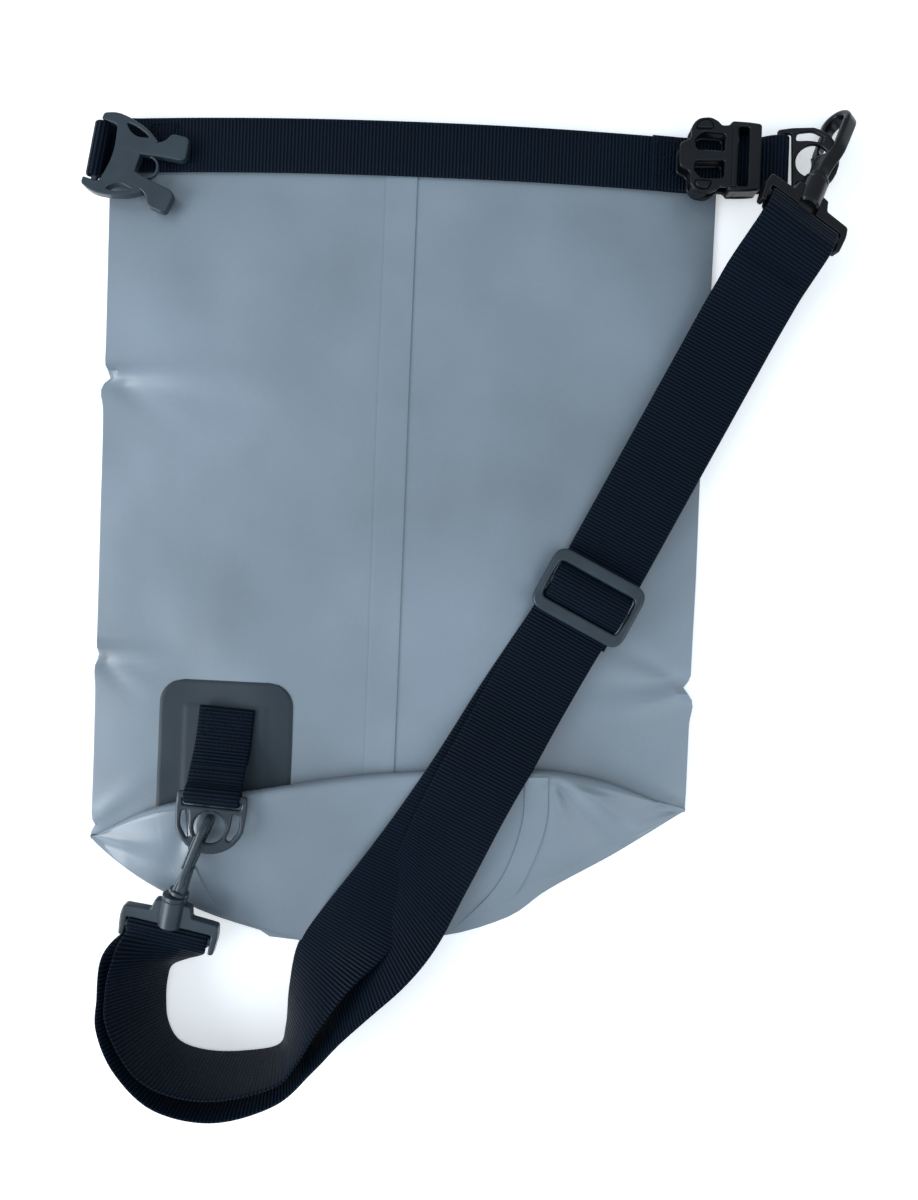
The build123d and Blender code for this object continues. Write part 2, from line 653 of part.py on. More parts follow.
def slider_frame():
    """The tri-glide slider: outer frame and the bar under the webbing."""
    outer = RectangleRounded(SLIDER_LENGTH, SLIDER_WIDTH, 5.0)
    window = RectangleRounded(WINDOW_LENGTH, WINDOW_WIDTH, 1.5)
    frame = extrude(outer - window, amount=SLIDER_THICKNESS)
    bar = block(-2.0, 2.0, -WINDOW_WIDTH / 2 - 1, WINDOW_WIDTH / 2 + 1, 0, 2.4)
    return placed(STRAP_PLANE, Pos(0, 0, SLIDER_LOW_Z) * (frame + bar))


def slider_wrap():
    """The webbing that passes up over the slider's bar and down again."""
    low = SLIDER_LOW_Z
    under = [(-8.7, low), (-4.0, low + 2.8), (4.0, low + 2.8), (8.7, low)]
    top = [(8.7, low + 1.4), (4.4, low + 4.2), (-4.4, low + 4.2), (-8.7, low + 1.4)]
    return placed(STRAP_PLANE, profile_across(under + top, STRAP_WIDTH))


NODES = {
    "body_tube": body_tube,
    "body_weld_strip": lambda: weld_strip(CREST_Y + 5, ROLL_Y),
    "mouth_tube": mouth_tube,
    "mouth_weld_strip": mouth_weld_strip,
    "bottom_disc": bottom_disc,
    "bottom_seam_tape": bottom_seam_tape,
    "bottom_gusset_left": lambda: gusset((-136.0, -146.8, 3.4), (-106.5, -131.0, 15.5), (-91.0, -168.0, 10.0)),
    "bottom_gusset_right": lambda: gusset((135.5, -125.0, 3.4), (76.5, -111.0, 18.2), (60.5, -163.5, 10.6)),
    "patch": patch,
    "tab_anchor": tab_anchor,
    "tab_webbing": tab_webbing,
    "tab_stitching": tab_stitching,
    "front_stiffener": front_stiffener,
    "back_stiffener": back_stiffener,
    "back_hem": back_hem,
    "band_webbing": band_webbing,
    "band_overlap_layer": band_overlap_layer,
    "band_stitching": band_stitching,
    "left_tail": left_tail,
    "male_loop": male_loop,
    "ring_tail": ring_tail,
    "female_loop": female_loop,
    "male_buckle": male_buckle,
    "prong_left": lambda: prong(1),
    "prong_right": lambda: prong(-1),
    "female_buckle": female_buckle,
    "upper_d_ring": lambda: placed(UPPER_RING, d_ring()),
    "lower_d_ring": lambda: placed(LOWER_RING, d_ring()),
    "upper_swivel_base": lambda: placed(UPPER_BASE, swivel_base()),
    "lower_swivel_base": lambda: placed(LOWER_BASE, swivel_base()),
    "upper_hook": lambda: placed(UPPER_HOOK, hook()),
    "lower_hook": lambda: placed(LOWER_HOOK, hook()),
    "upper_gate": lambda: placed(UPPER_HOOK, gate()),
    "lower_gate": lambda: placed(LOWER_HOOK, gate()),
    "strap_upper_run": strap_upper_run,
    "strap_under_layer": strap_under_layer,
    "strap_return_layer": strap_return_layer,
    "strap_inner_loop": lambda: strap_loop(INNER_LOOP_ROUTE),
    "strap_outer_loop": lambda: strap_loop(OUTER_LOOP_ROUTE),
    "strap_end_loop": strap_end_loop,
    "strap_end_stitching": strap_end_stitching,
    "strap_base_loop": strap_base_loop,
    "slider_frame": slider_frame,
    "slider_wrap": slider_wrap,
}


def main():
    """Write one STEP file for each sub-part."""
    os.makedirs("parts", exist_ok=True)
    for name, make in NODES.items():
        export_step(make(), f"parts/{name}.step")


main()
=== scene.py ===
import json
import math
from contextlib import contextmanager

import bmesh
import bpy
import numpy as np
from mathutils import Matrix, Vector, noise
from mathutils.geometry import tessellate_polygon


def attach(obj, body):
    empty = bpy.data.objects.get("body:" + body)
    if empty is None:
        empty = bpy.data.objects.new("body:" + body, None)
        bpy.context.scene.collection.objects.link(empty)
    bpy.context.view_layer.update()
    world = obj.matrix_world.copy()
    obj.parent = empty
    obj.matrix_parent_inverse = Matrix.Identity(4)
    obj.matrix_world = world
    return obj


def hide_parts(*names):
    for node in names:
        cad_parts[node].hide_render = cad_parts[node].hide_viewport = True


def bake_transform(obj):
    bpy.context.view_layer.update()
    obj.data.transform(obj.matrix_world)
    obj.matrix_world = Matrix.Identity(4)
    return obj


# A roll-top dry bag lying empty on its back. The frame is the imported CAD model; lengths here
# are millimetres until a mesh is made, and metres after that.
MM = 0.001

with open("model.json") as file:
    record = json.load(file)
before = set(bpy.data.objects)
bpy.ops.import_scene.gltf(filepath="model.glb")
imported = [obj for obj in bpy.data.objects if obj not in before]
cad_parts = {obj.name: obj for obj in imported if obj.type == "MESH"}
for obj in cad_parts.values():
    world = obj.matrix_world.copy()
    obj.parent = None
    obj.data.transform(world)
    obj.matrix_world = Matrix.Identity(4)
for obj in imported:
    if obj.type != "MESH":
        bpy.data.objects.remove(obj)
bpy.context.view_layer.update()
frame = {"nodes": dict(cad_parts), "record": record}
SLOTS = {row["node"]: row["material_slot"] for row in frame["record"]["subparts"]}

# Flat bag: its edges, lips and folded bottom
HALF_WIDTH = 139.0
MOUTH_Y = 185.0
ROLL_Y = 126.0
BODY_HEIGHT = 11.0
MOUTH_HEIGHT = 10.0
EDGE_HEIGHT = 1.2
WALL = 0.6
LEFT_EDGE = [(190.0, -140.3), (152.0, -140.2), (9.0, -138.6), (-147.0, -137.4)]
RIGHT_EDGE = [(190.0, 140.4), (158.0, 140.2), (19.0, 138.0), (-124.0, 136.9)]
BOTTOM_EDGE = [
    (-137.4, -147.0), (-124.3, -157.6), (-104.5, -169.3), (-78.0, -180.4), (-56.4, -186.2), (-38.9, -190.6),
    (-10.0, -192.2), (25.8, -185.6), (53.0, -176.7), (73.0, -163.0), (107.0, -143.0), (136.9, -124.0),
]
CREST_LINE = [
    (-137.4, -147.0), (-121.0, -139.3), (-104.0, -132.5), (-60.5, -123.0), (1.0, -112.6), (50.0, -109.6),
    (72.0, -109.2), (88.0, -111.5), (107.0, -116.0), (136.9, -124.0),
]
CREST_HEIGHT = [
    (-137.4, 2.0), (-121.0, 8.6), (-104.0, 14.4), (-60.5, 17.8), (1.0, 18.6), (60.0, 18.8), (80.0, 17.0),
    (107.0, 10.5), (136.9, 2.2),
]
# Creases: start, heading in degrees, length, depth. Those on the body, then those on the folded bottom
DENTS = [
    (-139.0, 67.0, -6.0, 120.0, 1.5), (-139.0, 67.0, -24.0, 56.0, 1.2),
    (-138.3, -62.0, -6.0, 40.0, 1.7), (-138.3, -62.0, -34.0, 44.0, 0.8),
    (137.8, -68.0, 187.0, 66.0, 2.1), (137.8, -68.0, 160.0, 84.0, 1.2),
    (-137.0, -141.0, 34.0, 60.0, 1.3), (-137.0, -146.0, 24.0, 46.0, 0.8),
    (136.0, -122.0, 158.0, 60.0, 0.8), (60.0, -20.0, -66.0, 70.0, 0.7),
]
FLAP_FOLDS = [
    (74.0, -106.0, -41.0, 84.0, 2.6), (72.0, -104.0, -52.0, 62.0, 1.7), (73.0, -110.0, -86.0, 60.0, 0.9),
    (136.0, -124.0, 196.0, 60.0, 1.0), (-84.0, -126.0, -106.0, 56.0, 1.8), (-136.0, -147.0, -8.0, 60.0, 1.2),
]

# Webbing: the mouth band, the tab and the strap, and the bars that they are folded round
AXIS_X, AXIS_Y, AXIS_Z = Vector((1, 0, 0)), Vector((0, 1, 0)), Vector((0, 0, 1))
BAND_WIDTH = 25.0
BAND_MID_Y = 172.5
BAND_LIFT = 1.6
OVERLAP_LIFT = 2.9
WEBBING = 1.2
UPPER_RING_BAR = Vector((168.3, 174.0, 7.15))
FEMALE_BAR = Vector((152.5, BAND_MID_Y, 8.65))
TAB_BAR = Vector((-77.3, -122.6, 21.8))
TAB_ALONG = Vector((-0.07, -1.0, 0)).normalized()
TAB_SIDE = Vector((1.0, -0.07, 0)).normalized()
TAB_LINE = [(-39.0, 11.2), (-28.0, 11.6), (-21.0, 13.0), (-15.0, 15.8)]
STRAP_WIDTH = 37.0
STRAP_WEBBING = 1.4
STRAP_FOLD = 3.1
STRAP_HEADING = (0.45, 0.893)
ALONG = Vector((*STRAP_HEADING, 0.0)).normalized()
ACROSS = Vector((STRAP_HEADING[1], -STRAP_HEADING[0], 0.0)).normalized()
SLIDER = Vector((86.8, -27.7, 13.7))
HOOK_LENGTH = 65.5
UPPER_BAR_SHIFT = 3.0
LOWER_BAR_SHIFT = 7.0


def curve_at(points, x):
    """Smooth value at x of a curve through points sorted along x."""
    xs = [p[0] for p in points]
    ys = [p[1] for p in points]
    if xs[0] > xs[-1]:
        xs.reverse()
        ys.reverse()
    if x <= xs[0]:
        return ys[0]
    if x >= xs[-1]:
        return ys[-1]
    i = max(k for k in range(len(xs) - 1) if xs[k] <= x)
    slopes = np.gradient(np.array(ys), np.array(xs))
    h = xs[i + 1] - xs[i]
    t = (x - xs[i]) / h
    return ((2 * t ** 3 - 3 * t ** 2 + 1) * ys[i] + (t ** 3 - 2 * t ** 2 + t) * h * slopes[i]
            + (3 * t ** 2 - 2 * t ** 3) * ys[i + 1] + (t ** 3 - t ** 2) * h * slopes[i + 1])


def smoothstep(a, b, x):
    """0 before a, 1 after b, and smooth between."""
    t = min(max((x - a) / (b - a), 0.0), 1.0)
    return t * t * (3 - 2 * t)


def wave(x, y, size, seed):
    """Soft noise of about one wave per size."""
    return noise.noise(Vector((x / size, y / size, seed)))


def crease(x, y, x0, y0, heading, length, depth):
    """A fold that starts at a point and fades out along its heading: a ridge beside a groove."""
    a = math.radians(heading)
    dx, dy = x - x0, y - y0
    along = dx * math.cos(a) + dy * math.sin(a)
    across = -dx * math.sin(a) + dy * math.cos(a)
    if along < -4 or along > length:
        return 0.0
    fade = (1 - max(along, 0) / length) ** 1.5
    width = 1.6 + 0.10 * max(along, 0)
    return depth * fade * (across / width) * math.exp(0.5 - 0.5 * (across / width) ** 2)


def mouth_blend(y):
    """1 in the stiffened mouth, 0 in the soft body."""
    return smoothstep(150.0, 166.0, y)


def front_z(x, y):
    """Height of the front wall's outside."""
    height = BODY_HEIGHT - (BODY_HEIGHT - MOUTH_HEIGHT) * smoothstep(ROLL_Y, 160.0, y)
    height -= (BODY_HEIGHT - 3.4) * smoothstep(-120.0, -192.0, y)
    half = HALF_WIDTH + 1.0
    r = min(abs(x) / half, 1.0)
    z = EDGE_HEIGHT + (height - EDGE_HEIGHT) * (1 - r ** 2.1)
    soft = (1 - mouth_blend(y)) * (1 - r ** 6)
    z += soft * (2.9 * wave(x, y * 0.7, 84.0, 3.1) + 1.7 * wave(x, y, 38.0, 8.7) + 0.14 * wave(x, y, 13.0, 1.4))
    for dent in DENTS:
        z += (1 - mouth_blend(y)) * crease(x, y, *dent)
    return max(z, 0.9)


def edge_x(side, y):
    """Plan position of a side edge, with the small nicks where the fabric has creased."""
    base = curve_at(LEFT_EDGE if side < 0 else RIGHT_EDGE, y)
    low = [p for p in BOTTOM_EDGE if (p[0] < -10.0) == (side < 0) or p[0] == -10.0]
    corner_y = -147.0 if side < 0 else -124.0
    if y < corner_y:
        base = curve_at([(p[1], p[0]) for p in low], y)
    for x0, y0, _, _, depth in DENTS:
        if x0 * side > 0 and depth >= 0.9:
            base -= side * 1.7 * math.exp(-((y - y0) / 3.0) ** 2)
            base += side * 0.7 * math.exp(-((y - y0 + 8) / 5.0) ** 2)
    return base + side * 0.5 * wave(side * 40.0, y, 45.0, 5.5)


def flap_z(x, y):
    """Height of the folded bottom's upper face, between its crest and its toe."""
    crest_y = curve_at(CREST_LINE, x)
    toe_y = curve_at(BOTTOM_EDGE, x)
    crest = curve_at(CREST_HEIGHT, x)
    span = max(crest_y - toe_y, 0.01)
    t = min(max((crest_y - y) / span, 0.0), 1.0)
    toe = min(4.4, 0.5 * crest)
    z = crest + (toe - crest) * (0.82 * t + 0.18 * t * t)
    body = math.sin(math.pi * t) * min(span / 60.0, 1.0)
    z += body * (1.3 * wave(x, y, 46.0, 2.2) + 0.4 * wave(x, y, 20.0, 6.0))
    pulled = smoothstep(0.0, 0.10, t) * (1 - smoothstep(0.82, 1.0, t))
    for fold in FLAP_FOLDS:
        z += pulled * crease(x, y, *fold)
    return z


def placed(name, data):
    """An object of the scene that shows the data."""
    obj = bpy.data.objects.new(name, data)
    bpy.context.scene.collection.objects.link(obj)
    return obj


def new_object(name, verts, faces, uvs=None, smooth=True):
    """A mesh object from millimetre points; uvs holds one pair per vertex."""
    mesh = bpy.data.meshes.new(name)
    mesh.from_pydata([(v[0] * MM, v[1] * MM, v[2] * MM) for v in verts], [], faces)
    if uvs is not None:
        layer = mesh.uv_layers.new(name="UVMap")
        for loop in mesh.loops:
            layer.data[loop.index].uv = uvs[loop.vertex_index]
    mesh.validate()
    obj = placed(name, mesh)
    for polygon in mesh.polygons:
        polygon.use_smooth = smooth
    return obj


def apply_modifier(obj, kind, **settings):
    """Adds a modifier, sets it, and applies it to the mesh."""
    modifier = obj.modifiers.new(kind, kind)
    for key, value in settings.items():
        setattr(modifier, key, value)
    bpy.context.view_layer.objects.active = obj
    depsgraph = bpy.context.evaluated_depsgraph_get()
    mesh = bpy.data.meshes.new_from_object(obj.evaluated_get(depsgraph))
    obj.modifiers.remove(modifier)
    obj.data = mesh


def ribbon(name, route, width, thickness, step=2.0, wobble=0.0):
    """A strip of webbing along a route of (centre, side) pairs, with rounded edges."""
    joined = [tuple(c) + tuple(Vector(s).normalized()) for c, s in route]
    rows = [(Vector(r[:3]), Vector(r[3:]).normalized()) for r in smooth_rows(joined, step)]
    upper = [(-0.5, 0.0), (-0.485, 0.36), (-0.46, 0.5), (-0.23, 0.5), (0.0, 0.5), (0.23, 0.5), (0.46, 0.5),
             (0.485, 0.36)]
    across = upper + [(-v, -w) for v, w in upper]
    verts, uvs = [], []
    travelled = 0.0
    for i, (centre, side) in enumerate(rows):
        before = rows[max(i - 1, 0)][0]
        after = rows[min(i + 1, len(rows) - 1)][0]
        normal = (after - before).normalized().cross(side).normalized()
        if i:
            travelled += (centre - before).length
        for v, w in across:
            lift = wobble * wave(travelled, v * width, 22.0, 4.0) * (1 - abs(v))
            verts.append(centre + side * (v * width) + normal * (w * thickness + lift))
            uvs.append((travelled * MM, v * width * MM))
    n = len(across)
    faces = tube_faces(len(rows), n)
    faces += [tuple(range(n)), tuple(reversed(range(len(verts) - n, len(verts))))]
    obj = new_object(name, verts, faces, uvs)
    recalculate(obj)
    obj["length_mm"] = travelled
    return obj


def round_bar(centre, out, up, radius, angles, side):
    """Route rows of webbing round a bar, at angles in degrees from out towards up."""
    return [(centre + (out * math.cos(a) + up * math.sin(a)) * radius, side) for a in map(math.radians, angles)]


def smooth_rows(points, step, cuts=16):
    """Rows of numbers along a smooth curve through some, a step apart by their first three columns."""
    p = [np.array(q, float) for q in points]
    p = [2 * p[0] - p[1]] + p + [2 * p[-1] - p[-2]]
    dense = []
    for a, b, c, d in zip(p, p[1:], p[2:], p[3:]):
        for k in range(cuts):
            t = k / cuts
            dense.append(0.5 * (2 * b + (c - a) * t + (2 * a - 5 * b + 4 * c - d) * t * t
                                + (3 * b - a - 3 * c + d) * t ** 3))
    dense = np.array(dense + [p[-2]])
    gaps = np.linalg.norm(np.diff(dense[:, :3], axis=0), axis=1)
    lengths = np.concatenate([[0], np.cumsum(gaps)])
    targets = np.linspace(0, lengths[-1], max(2, round(lengths[-1] / step)) + 1)
    return np.array([np.interp(targets, lengths, column) for column in dense.T]).T


def tube_faces(rings, size, first=0, stride=None):
    """Quads that join closed rings of vertices, each ring a stride after the one before."""
    stride = stride or size
    pairs = [(first + j * stride + k, first + j * stride + (k + 1) % size)
             for j in range(rings - 1) for k in range(size)]
    return [(a, b, b + stride, a + stride) for a, b in pairs]


@contextmanager
def edited(obj):
    """The object's mesh, open for editing."""
    work = bmesh.new()
    work.from_mesh(obj.data)
    yield work
    work.to_mesh(obj.data)
    work.free()


def recalculate(obj):
    """Turns every face outwards."""
    with edited(obj) as work:
        bmesh.ops.recalc_face_normals(work, faces=work.faces)


# ---------------------------------------------------------------- camera, light and floor

def make_camera():
    """Straight above the bag, turned a little, as a hand-held camera looks down at it."""
    data = bpy.data.cameras.new("camera")
    data.sensor_width = 36.0
    data.lens = 31.0
    camera = placed("camera", data)
    camera.location = (0.0286, -0.0309, 0.480)
    camera.rotation_euler = (0.0, 0.0, math.radians(2.2))
    bpy.context.scene.camera = camera


def area_light(name, place, target, size, power, colour):
    """A soft rectangular lamp aimed at a point."""
    data = bpy.data.lights.new(name, "AREA")
    data.shape = "RECTANGLE"
    data.size, data.size_y = size
    data.energy = power
    data.color = colour
    lamp = placed(name, data)
    lamp.location = place
    lamp.rotation_euler = (Vector(target) - Vector(place)).to_track_quat("-Z", "Y").to_euler()


def make_light():
    """Window light from the left, a weak fill, and a surround that is brighter on the window's side."""
    area_light("window", (-1.12, -0.40, 0.66), (-0.02, -0.04, 0), (1.0, 0.7), 14.0, (0.93, 0.96, 1.0))
    area_light("fill", (0.9, -0.5, 0.9), (0, 0, 0), (0.9, 0.9), 3.4, (0.90, 0.96, 1.0))
    world = bpy.data.worlds.new("surround")
    bpy.context.scene.world = world
    surface, add = node_tools(world, "Background")
    place = add("ShaderNodeTexCoord").outputs["Generated"]
    turn = add("ShaderNodeVectorMath", [(0, place), (1, (-0.60, -0.25, 0.60))], operation="DOT_PRODUCT")
    side = mapped(add, turn.outputs["Value"], from_min=-0.9, from_max=0.9)
    sky = ramp(add, side, [(0.0, (0.30, 0.29, 0.28)), (0.45, (0.62, 0.68, 0.74)), (1.0, (1.0, 1.18, 1.34))])
    surface(("Color", sky), ("Strength", 0.82))
    bpy.context.scene.view_settings.view_transform = "Standard"


def make_floor():
    """A pale, plain floor just below the lowest webbing."""
    size, z = 3000.0, -0.35
    corners = [(-size, -size, z), (size, -size, z), (size, size, z), (-size, size, z)]
    floor = new_object("floor", corners, [(0, 1, 2, 3)], smooth=False)
    material, surface, _ = start_material("pale_floor")
    surface(("Base Color", (0.93, 0.93, 0.93, 1)), ("Roughness", 0.9),
            ("Emission Color", (1.0, 1.0, 1.0, 1)), ("Emission Strength", 0.34))
    floor.data.materials.append(material)


# ---------------------------------------------------------------- materials

DUST = (0.8, 0.82, 0.85, 1)
RIB_PITCH = 0.0016
WARP_PITCH = 0.0011


def node_tools(owner, shader):
    """For a material or world: a function that sets its shader's sockets, and one that adds a node.
    A socket is set to a number, to a colour, or to another node's output."""
    owner.use_nodes = True
    tree = owner.node_tree

    def feed(node, pairs):
        for socket, source in pairs:
            if isinstance(source, bpy.types.NodeSocket):
                tree.links.new(source, node.inputs[socket])
            else:
                node.inputs[socket].default_value = source

    def surface(*pairs):
        feed(tree.nodes[shader], pairs)

    def add(kind, pairs=(), **values):
        node = tree.nodes.new(kind)
        for key, value in values.items():
            if key in node.inputs:
                node.inputs[key].default_value = value
            else:
                setattr(node, key, value)
        feed(node, pairs)
        return node

    return surface, add


def start_material(name):
    """A new material and its node tools."""
    material = bpy.data.materials.new(name)
    return material, *node_tools(material, "Principled BSDF")


def maths(add, operation, *sources):
    """The result of a math node."""
    return add("ShaderNodeMath", enumerate(sources), operation=operation).outputs[0]


def noise_value(add, place, scale, detail, roughness=0.5):
    """The value of a noise texture."""
    node = add("ShaderNodeTexNoise", [("Vector", place)], Scale=scale, Detail=detail, Roughness=roughness)
    return node.outputs["Fac"]


def mapped(add, value, **limits):
    """A value carried from one range to another."""
    pairs = [(key.replace("_", " ").title(), limit) for key, limit in limits.items()]
    return add("ShaderNodeMapRange", [("Value", value)] + pairs).outputs["Result"]


def mixed(add, factor, a, b, blend="MIX"):
    """Two colours mixed."""
    return add("ShaderNodeMix", [("Factor", factor), ("A", a), ("B", b)], data_type="RGBA",
               blend_type=blend).outputs["Result"]


def bumped(add, height, strength, distance):
    """The normal that a height gives."""
    return add("ShaderNodeBump", [("Height", height)], Strength=strength, Distance=distance).outputs["Normal"]


def ramp(add, source, stops):
    """The colour of a ramp with (place, grey or colour) stops."""
    node = add("ShaderNodeValToRGB", [("Fac", source)])
    elements = node.color_ramp.elements
    while len(elements) < len(stops):
        elements.new(0.5)
    for element, (place, colour) in zip(elements, stops):
        element.position = place
        element.color = (colour,) * 3 + (1,) if isinstance(colour, float) else tuple(colour) + (1,)
    return node.outputs["Color"]


def scaled(colour, factor):
    """A colour made darker or lighter."""
    return tuple(factor * c for c in colour)


def coated_fabric(name, dark, light, roughness, shine=0.5, coat=0.34):
    """PVC-coated fabric: a faint scrim, soft mottling, dust specks and a satin coat."""
    material, surface, add = start_material(name)
    place = add("ShaderNodeTexCoord").outputs["Object"]
    cloud = noise_value(add, place, 9.0, 3.0, 0.55)
    fine = noise_value(add, place, 420.0, 2.0, 0.6)
    tone = mixed(add, 1.0, ramp(add, cloud, [(0.3, dark), (0.7, light)]),
                 ramp(add, fine, [(0.0, 0.93), (1.0, 1.0)]), "MULTIPLY")
    cells = add("ShaderNodeTexVoronoi", [("Vector", place)], Scale=34.0, Randomness=1.0)
    near = maths(add, "LESS_THAN", cells.outputs["Distance"], 0.016)
    draw = add("ShaderNodeSeparateColor", [("Color", cells.outputs["Color"])]).outputs["Red"]
    dust = maths(add, "MULTIPLY", near, maths(add, "GREATER_THAN", draw, 0.93))
    turned_place = add("ShaderNodeMapping", [("Vector", place), ("Rotation", (0, 0, math.radians(1.5)))])
    threads = [add("ShaderNodeTexWave", [("Vector", turned_place.outputs["Vector"])], Scale=220.0,
                   bands_direction=way).outputs["Fac"] for way in "XY"]
    grain = maths(add, "ADD", maths(add, "ADD", *threads), fine)
    surface(("Base Color", mixed(add, dust, tone, DUST)),
            ("Roughness", mapped(add, cloud, to_min=roughness - 0.05, to_max=roughness + 0.07)),
            ("Normal", bumped(add, grain, 0.10, 0.00006)),
            ("Specular IOR Level", shine), ("Coat Weight", coat), ("Coat Roughness", 0.24))
    return material


def webbing_material(name, colour, shine):
    """Woven webbing: cross ribs, fine warp threads and a slight sheen, laid out by the strip's own UVs. The rib crests
    carry a painted highlight and the hollows between them painted shade.
    """
    material, surface, add = start_material(name)
    uv = add("ShaderNodeTexCoord").outputs["UV"]
    split = add("ShaderNodeSeparateXYZ", [("Vector", uv)])
    rib_angle = maths(add, "MULTIPLY", split.outputs["X"], 2 * math.pi / RIB_PITCH)
    warp_angle = maths(add, "MULTIPLY", split.outputs["Y"], 2 * math.pi / WARP_PITCH)
    woven = maths(add, "MULTIPLY", maths(add, "SINE", warp_angle),
                  maths(add, "SINE", maths(add, "MULTIPLY", rib_angle, 0.5)))
    weave = maths(add, "MULTIPLY_ADD", woven, 0.35, maths(add, "SINE", rib_angle))
    height = maths(add, "MULTIPLY_ADD", noise_value(add, uv, 900.0, 3.0), 0.6, weave)
    # Painted highlight and painted shade: the rib crests are coloured far lighter than the webbing and the hollows
    # between the ribs darker, in place of light falling on the ribs.
    light = (3.4 * colour[0], 3.3 * colour[1], 3.3 * colour[2])
    tone = ramp(add, mapped(add, weave, from_min=-1.0, from_max=1.2),
                [(0.0, scaled(colour, 0.35)), (0.55, colour), (1.0, light)])
    surface(("Base Color", mixed(add, noise_value(add, uv, 45.0, 2.0), tone, DUST, "MULTIPLY")),
            ("Normal", bumped(add, height, 0.9, 0.00022)),
            ("Roughness", 0.5), ("Specular IOR Level", shine),
            ("Sheen Weight", 0.012), ("Sheen Roughness", 0.4), ("Sheen Tint", (0.55, 0.7, 1.0, 1)))
    return material


def moulded_plastic(name, colour, roughness, shine=0.45):
    """Injection-moulded plastic: fine texture and faint flow marks."""
    material, surface, add = start_material(name)
    place = add("ShaderNodeTexCoord").outputs["Object"]
    flow = noise_value(add, place, 70.0, 3.0)
    surface(("Base Color", ramp(add, flow, [(0.35, scaled(colour, 0.85)), (0.7, scaled(colour, 1.2))])),
            ("Roughness", mapped(add, flow, to_min=roughness - 0.06, to_max=roughness + 0.08)),
            ("Normal", bumped(add, noise_value(add, place, 1500.0, 2.0), 0.25, 0.00005)),
            ("Specular IOR Level", shine))
    return material


def thread_material(name, colour):
    """Twisted sewing thread."""
    material, surface, add = start_material(name)
    place = add("ShaderNodeTexCoord").outputs["Object"]
    twist = add("ShaderNodeTexWave", [("Vector", place)], Scale=500.0, Distortion=1.0).outputs["Fac"]
    surface(("Base Color", ramp(add, twist, [(0.0, scaled(colour, 0.6)), (1.0, colour)])),
            ("Normal", bumped(add, twist, 0.6, 0.0001)),
            ("Roughness", 0.7), ("Specular IOR Level", 0.1))
    return material


MATERIALS = {
    "body_fabric": coated_fabric("grey_coated_fabric", (0.158, 0.189, 0.218), (0.214, 0.263, 0.311), 0.37),
    "patch_fabric": coated_fabric("dark_coated_fabric", (0.015, 0.025, 0.034), (0.020, 0.031, 0.041), 0.46, 0.30, 0.0),
    "webbing": webbing_material("black_webbing", (0.0016, 0.0050, 0.0108), 0.07),
    "thread": thread_material("black_thread", (0.0025, 0.006, 0.012)),
    "stiffener_plastic": moulded_plastic("stiffener", (0.55, 0.55, 0.52), 0.45),
    "dark_plastic": moulded_plastic("black_plastic", (0.0030, 0.0038, 0.0052), 0.22, 0.25),
    "grey_plastic": moulded_plastic("charcoal_plastic", (0.019, 0.030, 0.040), 0.30),
}


def finish_piece(obj, material, body=None, nodes=()):
    """Material, body and the CAD nodes a piece stands for."""
    obj.data.materials.clear()
    obj.data.materials.append(MATERIALS[material])
    SLOTS[nodes[0]] if nodes else material
    if nodes:
        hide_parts(*nodes)
    if body:
        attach(obj, body)
    return obj


# ---------------------------------------------------------------- bag

def make_shell():
    """The tube of fabric, front and back wall in one closed sleeve that is open at the mouth."""
    columns = 96
    stations = [float(y) for y in np.linspace(-191.6, -150.0, 16)]
    stations += [float(y) for y in np.linspace(-147.0, MOUTH_Y, 118)]
    verts = []
    for y in stations:
        left, right = edge_x(-1, y), edge_x(1, y)
        for k in range(columns + 1):
            x = left + (right - left) * (0.5 - 0.5 * math.cos(math.pi * k / columns))
            verts.append((x, y, front_z(x, y) - WALL / 2))
        for k in range(1, columns):
            x = right + (left - right) * (0.5 - 0.5 * math.cos(math.pi * k / columns))
            edge = min(x - left, right - x)
            verts.append((x, y, 0.35 + 0.25 * math.exp(-edge / 6.0)))
    ring = 2 * columns
    faces = tube_faces(len(stations), ring) + [tuple(reversed(range(ring)))]
    shell = new_object("bag_shell", verts, faces)
    recalculate(shell)
    apply_modifier(shell, "SOLIDIFY", thickness=WALL * MM, offset=0.0)
    finish_piece(shell, "body_fabric", nodes=("body_tube", "mouth_tube", "back_hem"))
    shade(shell, 50)
    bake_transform(shell)


def shade(obj, degrees):
    """Smooth shading with sharp edges past an angle."""
    with edited(obj) as work:
        for edge in work.edges:
            if len(edge.link_faces) == 2:
                edge.smooth = edge.calc_face_angle(0.0) < math.radians(degrees)
        for face in work.faces:
            face.smooth = True


def surface_strip(name, outline_low, outline_high, rows, columns, height, rise, skirt=0.5, rim=0.35):
    """A thin closed layer that follows a height function between two plan curves."""
    verts, faces = [], []
    for side in (1, 0):
        for j in range(rows + 1):
            a, b = outline_low(j / rows), outline_high(j / rows)
            for k in range(columns + 1):
                t = k / columns
                x, y = a[0] + (b[0] - a[0]) * t, a[1] + (b[1] - a[1]) * t
                border = min(j, rows - j, k, columns - k)
                top = rise if border else rise * rim
                verts.append((x, y, height(x, y) + (top if side else -skirt)))
    n = (rows + 1) * (columns + 1)
    w = columns + 1
    for j in range(rows):
        for k in range(columns):
            a = j * w + k
            faces.append((a, a + 1, a + 1 + w, a + w))
            faces.append((a + n + w, a + n + 1 + w, a + n + 1, a + n))
    border = ([k for k in range(w)] + [j * w + columns for j in range(1, rows + 1)]
              + [rows * w + k for k in range(columns - 1, -1, -1)] + [j * w for j in range(rows - 1, 0, -1)])
    for a, b in zip(border, border[1:] + border[:1]):
        faces.append((b, a, a + n, b + n))
    obj = new_object(name, verts, faces)
    recalculate(obj)
    shade(obj, 40)
    return obj


